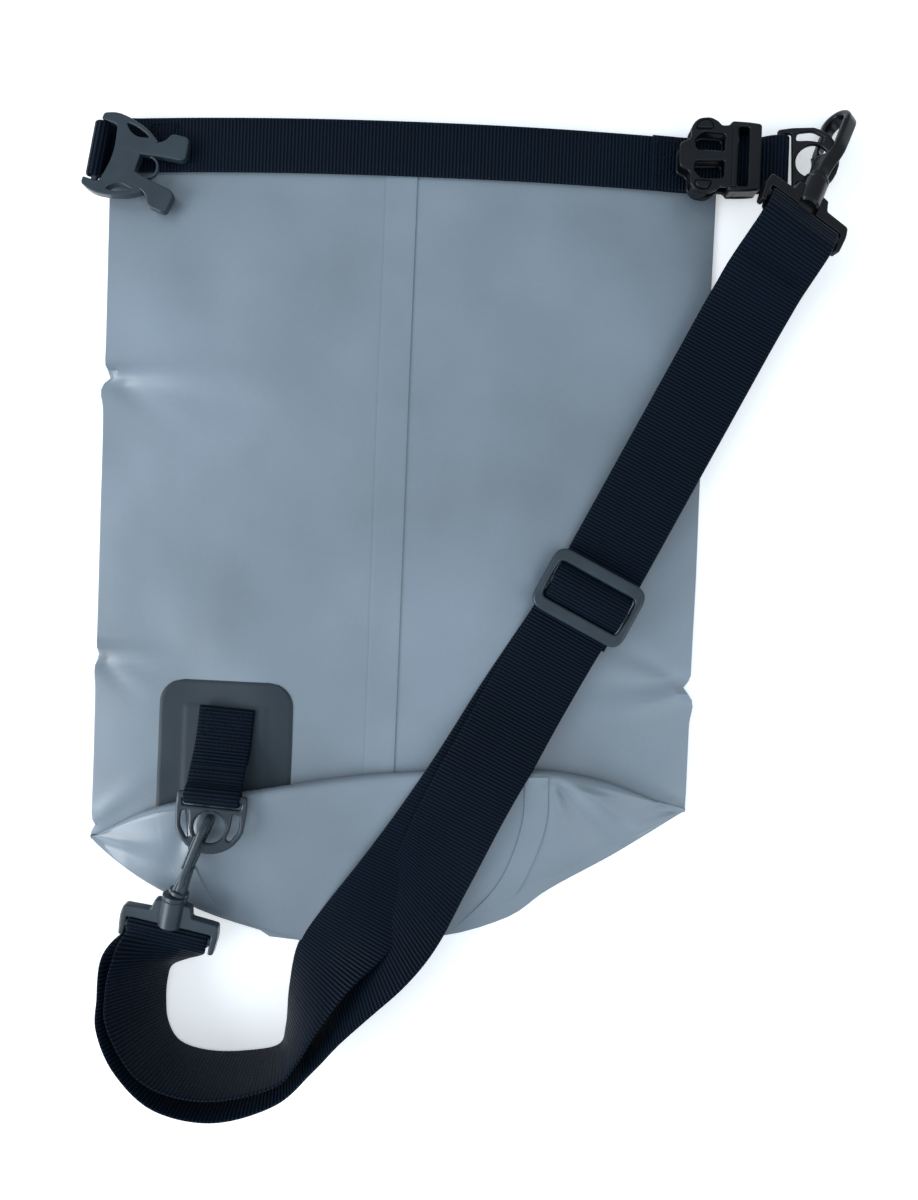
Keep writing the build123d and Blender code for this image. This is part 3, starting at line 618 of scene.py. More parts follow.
def make_weld_strip():
    """The welded overlap up the middle of the front."""
    low_y, high_y = -112.0, 161.0

    def side(x_low, x_high):
        return lambda t: (x_low + (x_high - x_low) * t, low_y + (high_y - low_y) * t)

    strip = surface_strip("weld_strip", side(-11.6, -11.8), side(2.0, 2.4), 120, 14, front_z, 0.62, skirt=0.2, rim=0.9)
    finish_piece(strip, "body_fabric", nodes=("body_weld_strip", "mouth_weld_strip"))
    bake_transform(strip)


def make_flap():
    """The round bottom and the tube's side folds, laid up over the front."""
    columns, rows = 150, 40
    verts, faces = [], []
    left, right = -137.2, 136.7
    for i in range(columns + 1):
        x = left + (right - left) * i / columns
        crest_y, toe_y = curve_at(CREST_LINE, x), curve_at(BOTTOM_EDGE, x) + 1.0
        crest = flap_z(x, crest_y)
        under = min(front_z(x, crest_y) + 0.5, crest - 0.5)
        radius = max((crest - under) / 2, 0.2)
        bulge = min(radius, 3.4)
        column = [(crest_y - 24.0 * min(1.0, (crest_y - toe_y) / 60.0), under)]
        for a in (-70, -40, -10, 20, 50, 75):
            angle = math.radians(a)
            column.append((crest_y - 0.6 + bulge * math.cos(angle), under + radius * (1 + math.sin(angle))))
        for j in range(1, rows + 1):
            y = crest_y + (toe_y - crest_y) * (j / rows)
            column.append((y, flap_z(x, y)))
        toe = column[-1][1]
        for a in (30, 70, 110, 150):
            angle = math.radians(a)
            column.append((toe_y - 0.15 * toe * math.sin(angle), toe * (0.5 + 0.5 * math.cos(angle)) + 0.1))
        column.append((toe_y + 3.0, 0.35))
        verts += [(x, y, z) for y, z in column]
    height = len(column)
    for i in range(columns):
        for j in range(height - 1):
            a = i * height + j
            faces.append((a, a + 1, a + 1 + height, a + height))
    flap = new_object("folded_bottom", verts, faces)
    recalculate(flap)
    apply_modifier(flap, "SOLIDIFY", thickness=WALL * MM, offset=-1.0)
    shade(flap, 60)
    finish_piece(flap, "body_fabric", "bag", ("bottom_disc", "bottom_gusset_left", "bottom_gusset_right"))


def plan_curve(points):
    """Plan position along a smooth curve through points, as a function from 0 to 1."""
    dense = smooth_rows([(x, y, 0) for x, y in points], 1.0, 24)
    last = len(dense) - 1
    return lambda t: tuple(dense[min(int(t * last + 0.5), last)][:2])


def make_seam_tape():
    """The welded tape that shows at both ends of the folded seam."""
    right = ([(71.5, -108.6), (71.8, -130.0), (66.0, -151.0), (57.5, -168.0), (45.0, -178.6)],
             [(61.0, -108.9), (61.2, -128.0), (56.8, -147.0), (48.6, -163.5), (31.5, -182.6)])
    left = ([(-104.0, -132.0), (-102.6, -148.0), (-98.4, -158.0), (-94.0, -166.0), (-88.0, -173.6)],
            [(-90.5, -128.9), (-89.6, -146.0), (-86.0, -158.0), (-81.0, -169.0), (-74.0, -178.6)])
    for name, (outer, inner), rise, nodes in (("seam_tape_right", right, 0.7, ("bottom_seam_tape",)),
                                              ("seam_tape_left", left, 0.6, ())):
        tape = surface_strip(name, plan_curve(outer), plan_curve(inner), 60, 12, flap_z, rise, skirt=0.15, rim=0.9)
        finish_piece(tape, "body_fabric", "bag", nodes)


def make_patch():
    """The dark patch with the raised outline of the anchor welded under it."""
    left, right, top, corner = -107.0, -45.0, -72.0, 11.0

    def height(x, y):
        inside = min(x + 95.0, -57.0 - x, -83.4 - y)
        return front_z(x, y) + 0.32 * smoothstep(-0.6, 0.6, inside)

    def half(side, low):
        def at(t):
            y = low + (top - low) * t
            reach = max(0.0, y - (top - corner))
            pull = corner - math.sqrt(max(corner ** 2 - reach ** 2, 0.0))
            return (left + pull) if side < 0 else (right - pull), y
        return at

    patch = surface_strip("patch_sheet", half(-1, -134.5), half(1, -123.0), 60, 62, height, 0.7, skirt=0.1)
    finish_piece(patch, "patch_fabric", "bag", ("patch", "tab_anchor"))


# ---------------------------------------------------------------- webbing

def make_band():
    """One length of 25 mm webbing: round the D-ring, along the front lip, round the male buckle's bar."""
    y = BAND_MID_Y
    route = [(Vector((158.4, y + 1.1, 6.9)), AXIS_Y), (Vector((162.6, y + 1.3, 8.9)), AXIS_Y)]
    route += round_bar(UPPER_RING_BAR, AXIS_X, AXIS_Z, 2.7, (90, 45, 0, -45, -90), AXIS_Y)
    route += [(Vector((x, y + 0.8, 4.5)), AXIS_Y) for x in (156.0, 140.0)]
    for x in (126, 112, 96, 72, 48, 24, 0, -24, -48, -72, -96, -112, -126):
        route.append((Vector((x, y, front_z(x, y) + BAND_LIFT)), AXIS_Y))
    for x, low, z, lean in ((-133.0, 0.2, 4.4, 0.02), (-139.5, 1.4, 4.3, 0.09), (-143.8, 3.2, 5.2, 0.13),
                            (-146.0, 4.4, 8.4, 0.14), (-145.5, 4.8, 11.7, 0.15), (-143.5, 5.0, 13.2, 0.15)):
        route.append((Vector((x, y - low, z)), Vector((lean, 1.0, 0))))
    side, out = Vector((0.15, 0.989, 0)), Vector((0.99, -0.13, 0))
    bar, fold = Vector((-142.6, 167.4, 10.4)), 2.6
    route += round_bar(bar, out, AXIS_Z, fold, (60, 20, -20, -60, -100), side)
    route.append((bar - out * 1.8 - AXIS_Z * fold, side))
    band = ribbon("mouth_band", route, BAND_WIDTH, WEBBING, step=1.5)
    finish_piece(band, "webbing", "mouth", ("band_webbing", "left_tail", "male_loop", "ring_tail", "front_stiffener"))


def make_buckle_loop():
    """The second layer at the band's right end, folded round the female buckle's bar."""
    y = BAND_MID_Y
    places = [(x, front_z(x, y) + OVERLAP_LIFT) for x in (109.0, 116.0, 124.0)] + [(132.0, 6.2), (142.0, 6.0)]
    route = [(Vector((x, y, z)), AXIS_Y) for x, z in places]
    route += round_bar(FEMALE_BAR, AXIS_X, AXIS_Z, 2.6, (-90, -40, 10, 60, 90), AXIS_Y)
    route.append((Vector((147.5, y, 10.6)), AXIS_Y))
    loop = ribbon("buckle_loop", route, BAND_WIDTH, WEBBING, step=1.5)
    finish_piece(loop, "webbing", "mouth", ("band_overlap_layer", "female_loop"))


def tab_point(s, z, v=0.0):
    """A place on the tab: s along it from the D-ring's bar, v across it."""
    q = TAB_BAR + TAB_ALONG * s + TAB_SIDE * v
    return Vector((q.x, q.y, z))


def make_tab():
    """The short tab sewn on the patch that holds the lower D-ring."""
    def rows(places):
        return [(tab_point(s, z), TAB_SIDE) for s, z in places]

    route = rows([(-13.0, 17.0), (-6.0, 19.6)])
    route += round_bar(TAB_BAR, TAB_ALONG, AXIS_Z, 2.9, (-90, -45, 0, 45, 90), TAB_SIDE)
    route += rows([(-3.2, 23.4), (-5.2, 20.2), (-9.0, 18.9)] + TAB_LINE[::-1])
    finish_piece(ribbon("lower_tab", route, BAND_WIDTH, 1.5, step=1.0), "webbing", "bag", ("tab_webbing",))
    route = rows([(-39.0, 10.0), (-30.0, 10.1), (-20.0, 10.6), (-14.0, 13.6)])
    finish_piece(ribbon("lower_tab_base", route, BAND_WIDTH, 1.3), "webbing", "bag")


def strap_point(s, z):
    """A place on the middle of the strap's straight stretch, s along it from the slider."""
    q = SLIDER + ALONG * s
    return Vector((q.x, q.y, z))


def edge_rows(edges):
    """Centres and sides of a ribbon from a point on one edge and a point on the other."""
    pairs = [(Vector(row[:3]), Vector(row[3:])) for row in edges]
    return [((a + b) / 2, b - a) for a, b in pairs]


def make_upper_strap():
    """The single run, from the slider up to the swivel's bar, with its sewn end folded back under it."""
    axis, side, normal = UPPER_BASE.col[0].xyz, -UPPER_BASE.col[1].xyz, UPPER_BASE.col[2].xyz
    bar = UPPER_BASE.translation + axis * UPPER_BAR_SHIFT

    def turned_row(s, z, share):
        return strap_point(s, z), ACROSS * (1 - share) + side * share

    route = [(strap_point(s, 10.75 + 0.010 * (s + 22)), ACROSS) for s in (-18, 0, 30, 60, 90, 120, 140)]
    route += [turned_row(152, 14.4, 0.15), turned_row(164, 19.4, 0.5), (bar - axis * 9.0 + normal * 1.6, side)]
    route += round_bar(bar, axis, normal, STRAP_FOLD, (110, 65, 15, -35, -85), side)
    route += [(bar - axis * 5.0 - normal * 2.6, side), (bar - axis * 10.0 - normal * 0.4, side),
              turned_row(164, 17.4, 0.5), turned_row(156, 14.3, 0.2)]
    strap = ribbon("strap_upper", route, STRAP_WIDTH, STRAP_WEBBING, step=1.6, wobble=0.25)
    finish_piece(strap, "webbing", nodes=("strap_upper_run", "strap_end_loop"))
    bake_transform(strap)
    level = (ACROSS * 0.4 + side * 0.6).normalized()
    rows = [[strap_point(165.5 + s, 21.3 + s * 0.36) + level * v for v in np.linspace(-15, 15, 16)]
            for s in (0.0, 1.8, 3.6)]
    finish_piece(stitching("strap_bar_tacks", rows, 1.9), "thread", "mouth", ("strap_end_stitching",))


def make_loop_strap():
    """The doubled run: down over the folded bottom, round the free loop to the lower swivel, and back inside.
    Each row holds the edge that ends up inside the loop, then the edge that ends up outside it."""
    outer = [
        (70.3, -20.3, 12.4, 103.3, -36.9, 12.4), (62.0, -33.0, 12.5, 94.6, -49.8, 12.5),
        (44.5, -65.0, 13.0, 77.8, -81.2, 13.0), (31.0, -90.0, 18.4, 64.4, -106.0, 19.0),
        (22.0, -106.0, 21.6, 55.6, -121.6, 21.6), (12.5, -126.0, 20.8, 45.8, -142.2, 19.8),
        (6.0, -143.5, 17.2, 35.0, -165.8, 15.0), (1.5, -158.0, 12.4, 25.5, -184.6, 16.0),
        (-7.5, -176.0, 6.6, 12.0, -201.0, 24.6), (-16.5, -191.0, 2.4, -2.4, -214.6, 30.4),
        (-25.5, -208.0, 0.9, -15.4, -225.4, 34.6), (-34.5, -226.0, 0.9, -26.8, -236.6, 35.8),
        (-46.5, -242.0, 0.9, -42.4, -251.0, 36.8), (-66.0, -250.5, 0.9, -69.0, -259.4, 36.8),
        (-88.0, -247.5, 0.9, -94.4, -255.0, 36.6), (-101.0, -237.0, 0.9, -111.8, -240.0, 36.2),
        (-104.6, -222.0, 0.9, -121.0, -223.0, 34.2), (-103.8, -211.0, 1.1, -121.4, -209.0, 33.6),
        (-101.6, -204.0, 1.8, -121.6, -200.0, 32.0), (-95.6, -199.6, 3.4, -121.6, -193.6, 27.6),
        (-85.4, -196.0, 8.0, -119.2, -188.4, 18.4),
    ]
    inner = [
        (69.4, -21.5, 10.8, 102.4, -38.1, 10.8), (60.0, -36.5, 10.9, 92.8, -53.2, 10.9),
        (41.0, -67.0, 11.4, 74.2, -83.0, 11.4), (26.0, -92.0, 17.0, 59.6, -107.6, 17.4),
        (16.5, -107.5, 20.0, 50.4, -122.4, 20.0), (1.8, -130.0, 18.6, 36.4, -144.4, 17.4),
        (-16.4, -156.4, 14.0, 17.8, -172.0, 12.0), (-30.4, -176.6, 8.0, 3.0, -190.6, 17.8),
        (-40.0, -193.0, 2.6, -12.6, -204.4, 25.0), (-43.0, -212.4, 0.9, -24.6, -219.2, 32.4),
        (-43.6, -230.0, 0.9, -33.4, -233.0, 36.4), (-47.0, -240.0, 0.9, -42.4, -242.6, 37.4),
        (-64.0, -243.6, 0.9, -65.6, -249.4, 37.4), (-81.0, -243.6, 0.9, -84.6, -248.8, 37.4),
        (-93.0, -239.6, 0.9, -100.4, -242.6, 37.0), (-98.6, -230.6, 0.9, -110.4, -231.8, 36.0),
        (-99.4, -219.6, 0.9, -117.8, -218.6, 34.6), (-98.8, -210.6, 1.4, -118.2, -207.6, 34.4),
        (-96.8, -203.8, 3.2, -117.2, -200.0, 34.0), (-89.6, -199.2, 7.6, -115.6, -193.6, 30.6),
        (-81.6, -195.4, 13.6, -115.4, -188.2, 23.6),
    ]
    axis, side, normal = (LOWER_STIRRUP.col[k].xyz for k in range(3))
    bar = LOWER_STIRRUP.translation + axis * LOWER_BAR_SHIFT
    route = edge_rows(outer) + [(bar - axis * 4.0 - normal * 3.0, side)]
    route += round_bar(bar, axis, normal, STRAP_FOLD, (-85, -35, 10, 55, 95), side)
    route += [(bar - axis * 4.0 + normal * STRAP_FOLD, side)] + edge_rows(inner)[::-1]
    strap = ribbon("strap_loop", route, STRAP_WIDTH, STRAP_WEBBING, step=1.6, wobble=0.2)
    finish_piece(strap, "webbing", "bag", (
        "strap_under_layer", "strap_return_layer", "strap_inner_loop", "strap_outer_loop", "strap_base_loop"))


def make_slider_wrap():
    """The webbing that rises through the slider's window over its bar."""
    heights = [(-9.6, 12.6), (-8.4, 14.6), (-6.4, 17.0), (-3.2, 18.5), (0.0, 19.0), (3.2, 18.6), (6.4, 17.2),
               (8.4, 14.8), (9.6, 12.6)]
    route = [(strap_point(s, z), ACROSS) for s, z in heights]
    wrap = ribbon("slider_webbing", route, STRAP_WIDTH - 0.4, STRAP_WEBBING, step=0.8)
    finish_piece(wrap, "webbing", "slider", ("slider_wrap",))


# ---------------------------------------------------------------- stitching

def stitching(name, rows, length):
    """Runs of short stitches through lists of points; each stitch is a bead with sunken ends."""
    bead = ((-0.5, 0.06, 0.2), (-0.36, 0.2, 0.04), (0.0, 0.25, 0.0), (0.36, 0.2, 0.04), (0.5, 0.06, 0.2))
    verts, faces = [], []
    for a, b in (pair for row in rows for pair in zip(row, row[1:])):
        along = (b - a).normalized()
        side = along.cross(AXIS_Z).normalized()
        up = side.cross(along)
        start = len(verts)
        for t, radius, sink in bead:
            centre = (a + b) / 2 + along * (t * min(length, (b - a).length * 0.86)) - up * sink
            for angle in (math.radians(60 * k) for k in range(6)):
                verts.append(centre + side * radius * math.cos(angle) + up * radius * math.sin(angle))
        faces += tube_faces(len(bead), 6, start)
        faces += [tuple(range(start, start + 6)), tuple(reversed(range(len(verts) - 6, len(verts))))]
    obj = new_object(name, verts, faces)
    recalculate(obj)
    return obj


def box_and_cross(corners, spacing, height):
    """Stitch rows round four corners and along both diagonals, at the height of what they are sewn through."""
    rows = []
    for i, j in ((0, 1), (1, 2), (2, 3), (3, 0), (0, 2), (1, 3)):
        a, b = Vector((*corners[i], 0)), Vector((*corners[j], 0))
        count = max(1, round((b - a).length / spacing))
        points = [a.lerp(b, k / count) for k in range(count + 1)]
        rows.append([Vector((p.x, p.y, height(p.x, p.y))) for p in points])
    return rows


def make_stitching():
    """Box stitching on the band's ends and on the tab."""
    def band_top(lift):
        return lambda x, _: front_z(x, BAND_MID_Y) + lift + WEBBING / 2 + 0.1

    def corners(x_low, x_high):
        return [(x_low, 163.0), (x_high, 163.0), (x_high, 182.0), (x_low, 182.0)]

    rows = box_and_cross(corners(111.0, 121.0), 2.4, band_top(OVERLAP_LIFT))
    rows += box_and_cross(corners(-121.0, -108.0), 2.4, band_top(BAND_LIFT))
    finish_piece(stitching("band_stitches", rows, 1.9), "thread", "mouth", ("band_stitching",))

    def tab_top(x, y):
        s = (Vector((x, y, 0)) - TAB_BAR).dot(TAB_ALONG)
        return curve_at(TAB_LINE + [(-9.6, 18.6)], s) + 0.85

    box = [tab_point(s, 0, v).xy for s, v in ((-37.2, -10.2), (-37.2, 10.2), (-25.5, 10.2), (-25.5, -10.2))]
    rows = box_and_cross(box, 2.2, tab_top)
    for s in (-22.6, -21.2, -9.8):
        places = [tab_point(s, 0, v).xy for v in np.linspace(-11, 11, 12)]
        rows.append([Vector((*place, tab_top(*place))) for place in places])
    finish_piece(stitching("tab_stitches", rows, 1.7), "thread", "bag", ("tab_stitching",))


# ---------------------------------------------------------------- moulded parts

def rounded(corners, steps=6):
    """A closed outline with its (x, y, radius) corners rounded."""
    outline = []
    count = len(corners)
    for i, (x, y, radius) in enumerate(corners):
        corner = Vector((x, y))
        before = Vector(corners[i - 1][:2]) - corner
        after = Vector(corners[(i + 1) % count][:2]) - corner
        reach = min(radius, 0.48 * before.length, 0.48 * after.length)
        if reach < 0.02:
            outline.append(corner)
            continue
        a, b = corner + before.normalized() * reach, corner + after.normalized() * reach
        for k in range(steps + 1):
            t = k / steps
            outline.append(a * (1 - t) ** 2 + corner * 2 * t * (1 - t) + b * t ** 2)
    return outline


def arc(x, y, radius, start, end, step=12.0):
    """Unrounded corners along an arc, angles in degrees."""
    count = max(2, round(abs(end - start) / step))
    angles = [math.radians(start + (end - start) * k / count) for k in range(count + 1)]
    return [(x + radius * math.cos(a), y + radius * math.sin(a), 0.0) for a in angles]


def sided(outline, side):
    """The outline, mirrored when the side is -1."""
    return [(x, y * side, r) for x, y, r in outline]


def mirrored(half):
    """A closed outline from its half on the positive side."""
    return half + sided(half, -1)[::-1]


def box(x_low, x_high, y, radius):
    """A rounded rectangle's corners, as far to each side of the axis."""
    return [(x_low, -y, radius), (x_high, -y, radius), (x_high, y, radius), (x_low, y, radius)]


def wound(outline, positive):
    """The outline, running the way asked for."""
    area = sum(a.x * b.y - b.x * a.y for a, b in zip(outline, outline[1:] + outline[:1]))
    return outline if (area > 0) == positive else list(reversed(outline))


def inset(outline, distance):
    """The outline moved into the material on its left."""
    moved = []
    count = len(outline)
    for i, p in enumerate(outline):
        d0 = (p - outline[i - 1]).normalized()
        d1 = (outline[(i + 1) % count] - p).normalized()
        n0, n1 = Vector((-d0.y, d0.x)), Vector((-d1.y, d1.x))
        n = n0 + n1
        n = n.normalized() if n.length > 1e-6 else n0
        moved.append(p + n * (distance / max(n.dot(n0), 0.55)))
    return moved


def plate(matrix, outer, low, high, edge, holes=()):
    """A moulded plate with rounded rims: verts and faces, placed by the matrix."""
    loops = [wound(rounded(outer), True)] + [wound(rounded(hole), False) for hole in holes]
    levels = []
    for k in range(4):
        a = math.radians(30 * k)
        levels.append((edge * (1 - math.sin(a)), high - edge * (1 - math.cos(a))))
    levels += [(d, low + high - z) for d, z in reversed(levels)]
    verts, faces = [], []
    total = sum(len(loop) for loop in loops)
    for distance, z in levels:
        for loop in loops:
            verts += [Vector((p.x, p.y, z)) for p in inset(loop, distance)]
    first = 0
    for loop in loops:
        faces += tube_faces(len(levels), len(loop), first, total)
        first += len(loop)
    caps = tessellate_polygon([[Vector((p.x, p.y, 0)) for p in inset(loop, edge)] for loop in loops])
    last = (len(levels) - 1) * total
    faces += [tuple(t) for t in caps]
    faces += [tuple(last + k for k in reversed(t)) for t in caps]
    return [matrix @ v for v in verts], faces


def turned(matrix, profile, axis="x", segments=36):
    """A turned shape from a closed profile of (place on the axis, radius) corners."""
    verts, faces = [], []
    count = len(profile)
    for k in range(segments):
        a = 2 * math.pi * k / segments
        for x, r in profile:
            p = (x, r * math.cos(a), r * math.sin(a)) if axis == "x" else (r * math.cos(a), x, r * math.sin(a))
            verts.append(matrix @ Vector(p))
    for k in range(segments):
        for i in range(count):
            j = (i + 1) % count
            a, b = k * count, (k + 1) % segments * count
            faces.append((a + i, a + j, b + j, b + i))
    return verts, faces


def rod(matrix, start, end, radius, axis="x", edge=0.4):
    """A round bar with eased ends."""
    core = 0.02
    profile = [(start, core), (start, radius - edge), (start + edge * 0.3, radius - edge * 0.3),
               (start + edge, radius), (end - edge, radius), (end - edge * 0.3, radius - edge * 0.3),
               (end, radius - edge), (end, core)]
    return turned(matrix, profile, axis)


def moulding(name, node, body, slot_name, shapes):
    """One object from several overlapping shapes, smooth where they are rounded."""
    verts, faces = [], []
    for part_verts, part_faces in shapes:
        first = len(verts)
        verts += list(part_verts)
        faces += [tuple(first + k for k in face) for face in part_faces]
    obj = new_object(name, verts, faces)
    with edited(obj) as work:
        bmesh.ops.remove_doubles(work, verts=work.verts, dist=1e-6)
    recalculate(obj)
    shade(obj, 42)
    apply_modifier(obj, "WEIGHTED_NORMAL", keep_sharp=True, weight=80)
    return finish_piece(obj, slot_name, body, (node,))


def male_shapes():
    """Frame with two thin bows that run out into the prongs, webbing bar and the guide between the prongs."""
    half = [(-2.8, 13.6, 0.8), (-2.8, 16.8, 2.0), (3.0, 19.0, 5.0), (9.6, 18.4, 6.0), (18.4, 16.0, 5.0),
            (24.8, 11.9, 0.9), (23.0, 10.2, 0.6), (18.6, 9.6, 0.8), (18.8, 3.9, 1.4)]
    outline = mirrored(half) + [(4.8, -13.6, 2.2), (7.4, 0.0, 9.0), (4.8, 13.6, 2.2)]
    leaf = [(8.4, 15.7, 1.2), (12.6, 15.7, 3.0), (18.6, 13.7, 1.6), (20.2, 12.3, 0.8), (14.6, 11.1, 2.4),
            (10.8, 12.8, 2.0)]
    guide = arc(22.6, 0, 5.6, -88, 88) + arc(22.6, 0, 4.5, 88, -88)
    return [
        plate(MALE, outline, -2.5, 2.5, 0.5, (leaf, sided(leaf, -1))),
        plate(MALE, guide, -0.8, 1.2, 0.3),
        rod(MALE @ Matrix.Rotation(math.radians(7.7), 4, "Z"), -13.7, 13.7, 1.6, "y"),
    ]


def prong_shapes(side):
    """A sprung arm with its catch, rooted inside the frame."""
    arm = [(9.0, 3.6, 1.5), (18.6, 3.9, 2.5), (26.8, 5.7, 6.0), (37.2, 7.0, 1.6), (38.9, 9.0, 1.5),
           (37.6, 18.0, 2.4), (29.4, 17.4, 2.2), (27.8, 13.6, 1.6), (24.6, 11.4, 3.0), (17.0, 10.3, 3.0),
           (9.0, 9.6, 1.5)]
    return [plate(MALE, sided(arm, side), -2.3, 2.53, 0.7)]


def female_shapes():
    """Two decks with windows, a lobe at each side of the mouth, and the webbing bars."""
    half = [(-3.8, 14.9, 1.6), (2.0, 15.6, 3.0), (9.6, 15.8, 1.2), (10.8, 13.9, 1.2), (14.2, 13.7, 1.2),
            (15.6, 15.4, 2.0), (19.2, 17.3, 4.0), (25.2, 16.6, 5.0), (28.2, 12.2, 3.0), (27.6, 7.6, 2.4),
            (32.9, 5.2, 2.0)]
    window = [(12.6, 2.1, 0.9), (12.6, 9.9, 1.6), (22.6, 10.4, 1.8), (26.2, 6.6, 1.6), (25.4, 2.7, 1.0)]
    openings = (window, sided(window, -1), box(1.9, 6.4, 13.2, 1.0))
    cheek = [(7.0, 13.9, 0.4), (7.0, 15.4, 0.8), (10.0, 15.5, 0.8), (10.6, 13.9, 0.4)]
    lobe = [(18.8, 13.9, 0.8), (18.8, 16.0, 2.0), (21.5, 16.8, 2.5), (25.2, 16.0, 3.0), (27.4, 13.9, 1.0)]
    arm = [(-3.4, 13.4, 0.8), (-3.4, 14.8, 1.0), (7.4, 15.4, 1.0), (7.4, 13.4, 0.8)]
    dome = [(17.6, 11.6, 2.0), (19.6, 15.8, 2.6), (24.6, 15.2, 3.0), (26.4, 11.4, 2.0)]
    shapes = [
        plate(FEMALE, mirrored(half), 6.7, 8.9, 0.9, openings),
        plate(FEMALE, mirrored(half), -1.25, 0.8, 0.8, openings),
        plate(FEMALE, cheek, 0.6, 6.9, 0.3),
        plate(FEMALE, sided(cheek, -1), 0.6, 6.9, 0.3),
        plate(FEMALE, box(6.6, 8.6, 13.6, 0.6), -1.0, 8.6, 0.6),
    ]
    for side in (1, -1):
        shapes += [plate(FEMALE, sided(shape, side), low, high, edge) for shape, low, high, edge in (
            (lobe, 0.6, 6.9, 0.3), (arm, -1.0, 8.6, 0.7), (dome, 8.4, 9.9, 1.2))]
    return shapes + [plate(FEMALE, box(7.0, 9.4, 14.0, 0.8), 8.4, 9.6, 0.6), rod(FEMALE, -14.4, 14.4, 1.8, "y")]


def ring_shapes(matrix):
    """A moulded D-ring: bar, round eye and a curved window at each side of it."""
    outline = [(-1.8, -15.6, 1.6), (5.0, -15.9, 2.0)] + arc(9.4, 0, 15.9, -72, 72) + [(5.0, 15.9, 2.0),
                                                                                    (-1.8, 15.6, 1.6)]
    slot = [(-0.4, -13.1, 0.5), (4.3, -13.1, 1.2), (4.3, 13.1, 1.2), (-0.4, 13.1, 0.5)]
    window = [(6.4, 9.8, 1.2), (6.8, 13.1, 1.6), (13.6, 13.2, 2.0), (19.0, 9.6, 1.4), (17.8, 7.7, 1.0),
              (13.2, 9.3, 2.4)]
    eye = arc(13.3, 0, 7.1, 0, 348)
    return [
        plate(matrix, outline, -1.4, 1.4, 1.1, (slot, window, sided(window, -1), eye)),
        rod(matrix, -15.0, 15.0, 1.8, "y"),
    ]


def base_shapes(matrix, shift):
    """The stirrup: stepped shoulders, strap bar, and a barrel open where the shank's head sits.
    The shift carries the strap bar and shoulders up the barrel."""
    half = [(-5.6, 19.4, 0.8), (-5.6, 21.8, 1.8), (4.0, 22.6, 2.4), (8.8, 21.6, 1.4), (9.4, 9.4, 0.9),
            (14.4, 8.2, 0.9), (14.8, 4.5, 0.4), (3.6, 4.5, 0.4), (3.6, 19.4, 0.9)]
    shoulder = [(x + shift, y, r) for x, y, r in half]
    barrel = [(9.4, 0.02), (9.4, 4.6), (10.4, 5.6), (17.4, 5.7), (22.4, 5.7), (22.8, 5.3), (23.2, 5.3),
              (23.6, 5.7), (24.6, 5.7), (25.0, 5.2), (25.0, 2.8), (16.2, 2.8), (16.2, 0.02)]
    return [
        plate(matrix, shoulder, -2.5, 2.5, 0.7),
        plate(matrix, sided(shoulder, -1), -2.5, 2.5, 0.7),
        turned(matrix, barrel),
        rod(matrix @ Matrix.Translation((shift, 0, 0)), -21.0, 21.0, 2.3, "y"),
    ]


def hook_shapes(matrix, thickness):
    """The snap hook: bowed spine, rounded nose, wedge neck, collar and shank with its head."""
    outline = [(25.6, -3.3, 0.8), (33.0, -3.8, 6.0), (41.0, -7.3, 9.0), (50.0, -7.5, 3.0)]
    outline += arc(57.8, 0, 7.6, -90, 90)
    outline += [(53.9, 7.6, 0.9), (53.9, 4.3, 0.8)] + arc(57.8, 0, 4.2, 90, -90)
    outline += arc(42.0, 0, 4.2, -90, -196)
    outline += [(38.2, 2.4, 0.4), (38.2, 6.2, 0.8), (33.0, 3.8, 5.0), (25.6, 3.3, 0.8)]
    half = thickness / 2
    turn = matrix @ Matrix.Rotation(math.radians(90), 4, "X")
    wedge = [(25.6, -3.2, 0.8), (25.6, 3.2, 0.8), (38.0, half + 0.25, 1.5), (38.0, -half - 0.25, 1.5)]
    rib = [(40.0, -6.4, 0.6), (44.0, -6.9, 2.0), (57.0, -6.9, 2.0), (57.0, -5.2, 0.6), (43.0, -5.2, 1.0)]
    shank = [(13.5, 0.02), (13.5, 3.3), (14.1, 3.9), (15.4, 3.9), (15.9, 3.3), (16.0, 2.6), (25.3, 2.6),
             (25.4, 4.0), (25.9, 4.5), (27.2, 4.5), (27.8, 3.8), (28.0, 0.02)]
    return [
        plate(matrix, outline, -half, half, min(1.3, half - 0.1)),
        plate(turn, wedge, -3.3, 3.3, 1.0),
        plate(matrix, rib, half - 0.4, half + 0.5, 0.4),
        turned(matrix, shank),
    ]


def gate_shapes(matrix, thickness):
    """The sprung gate."""
    half = thickness / 2 - 0.3
    outline = [(38.6, 1.6, 0.6), (38.6, 6.2, 0.8), (41.4, 7.2, 4.0), (53.4, 7.5, 1.0), (53.4, 4.5, 0.8),
               (43.6, 4.4, 2.6), (40.6, 2.6, 1.8)]
    return [plate(matrix, outline, -half, half, 0.9)]


def slider_shapes():
    """The tri-glide: a rounded frame with the bar the webbing passes over."""
    matrix = placing(SLIDER, STRAP_HEADING)
    return [
        plate(matrix, box(-15.2, 15.2, 23.0, 7.0), 0.0, 3.6, 1.3, (box(-9.1, 9.1, 19.2, 2.6),)),
        plate(matrix, box(-2.2, 2.2, 20.4, 0.6), 0.1, 2.6, 0.8),
    ]


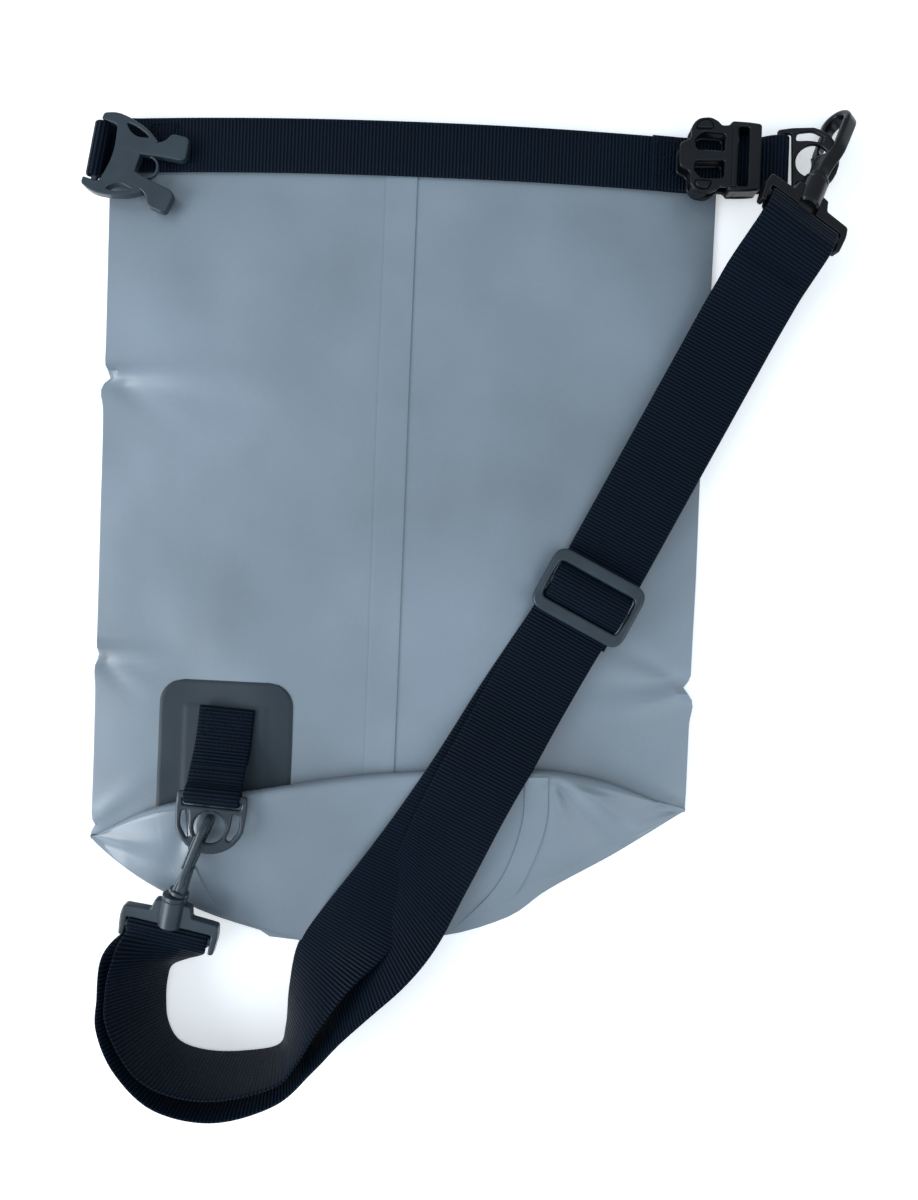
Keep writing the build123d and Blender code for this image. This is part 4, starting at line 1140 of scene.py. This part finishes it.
def placing(origin, heading, pitch=0, roll=0):
    """The matrix of a part's own frame: x along its heading, y to the left, z up, turned by pitch and roll."""
    flat = Vector((heading[0], heading[1], 0)).normalized()
    axis = flat * math.cos(math.radians(pitch)) + Vector((0, 0, math.sin(math.radians(pitch))))
    up = (Vector((0, 0, 1)) - axis * axis.z).normalized()
    side = up.cross(axis)
    turn = math.radians(roll)
    normal = up * math.cos(turn) + side * math.sin(turn)
    matrix = Matrix((axis, normal.cross(axis), normal)).transposed().to_4x4()
    matrix.translation = Vector(origin)
    return matrix


def swivel_placing(tip, heading, pitch, roll, bar_z):
    """The frame of a swivel hook, from its strap bar to its tip."""
    flat = Vector((heading[0], heading[1], 0)).normalized()
    origin = Vector((tip[0], tip[1], 0)) - flat * (math.cos(math.radians(pitch)) * HOOK_LENGTH)
    return placing((origin.x, origin.y, bar_z), heading, pitch, roll)


MALE = placing((-142.3, 166.5, 10.5), (math.cos(math.radians(-16.4)), math.sin(math.radians(-16.4))))
FEMALE = placing(FEMALE_BAR, (-1, 0))
UPPER_RING = placing(UPPER_RING_BAR, (1.0, 0.042), 12.5)
LOWER_RING = placing(TAB_BAR, TAB_ALONG, -1.0)
UPPER_HOOK, UPPER_BASE = (
    swivel_placing((196.1, 198.1), (0.386, 0.922), -17.4, roll, 25.3) for roll in (58.0, -14.0))
LOWER_HOOK, LOWER_BASE = (
    swivel_placing((-77.1, -129.8), (0.365, 0.931), 8.0, roll, 15.4) for roll in (90.0, 0.0))
LOWER_STIRRUP = (LOWER_BASE @ Matrix.Translation((20.0, 0, 0)) @ Matrix.Rotation(math.radians(11), 4, "Z")
                 @ Matrix.Translation((-20.0, 0, 0)))


def make_moulded_parts():
    """Every hard part of the bag."""
    parts = [
        ("male_buckle", "male_buckle", "grey_plastic", male_shapes()),
        ("prong_left", "prong_left", "grey_plastic", prong_shapes(1)),
        ("prong_right", "prong_right", "grey_plastic", prong_shapes(-1)),
        ("female_buckle", "female_buckle", "dark_plastic", female_shapes()),
        ("upper_d_ring", "upper_d_ring", "dark_plastic", ring_shapes(UPPER_RING)),
        ("lower_d_ring", "lower_d_ring", "grey_plastic", ring_shapes(LOWER_RING)),
        ("upper_swivel_base", "mouth", "dark_plastic", base_shapes(UPPER_BASE, UPPER_BAR_SHIFT)),
        ("lower_swivel_base", "bag", "grey_plastic", base_shapes(LOWER_STIRRUP, LOWER_BAR_SHIFT)),
        ("upper_hook", "upper_hook", "dark_plastic", hook_shapes(UPPER_HOOK, 7.0)),
        ("lower_hook", "lower_hook", "grey_plastic", hook_shapes(LOWER_HOOK, 3.6)),
        ("upper_gate", "upper_gate", "dark_plastic", gate_shapes(UPPER_HOOK, 5.0)),
        ("lower_gate", "lower_gate", "grey_plastic", gate_shapes(LOWER_HOOK, 3.6)),
        ("slider_frame", "slider", "grey_plastic", slider_shapes()),
    ]
    for node, body, material, shapes in parts:
        moulding(node + "_moulding", node, body, material, shapes)


def main():
    """Everything round the frame, in the order it is made."""
    make_camera()
    make_light()
    make_floor()
    for name, node in frame["nodes"].items():
        node.data.materials.clear()
        node.data.materials.append(MATERIALS[SLOTS[name]])
    make_shell()
    make_weld_strip()
    make_flap()
    make_seam_tape()
    make_patch()
    make_band()
    make_buckle_loop()
    make_tab()
    make_stitching()
    make_upper_strap()
    make_loop_strap()
    make_slider_wrap()
    make_moulded_parts()


main()
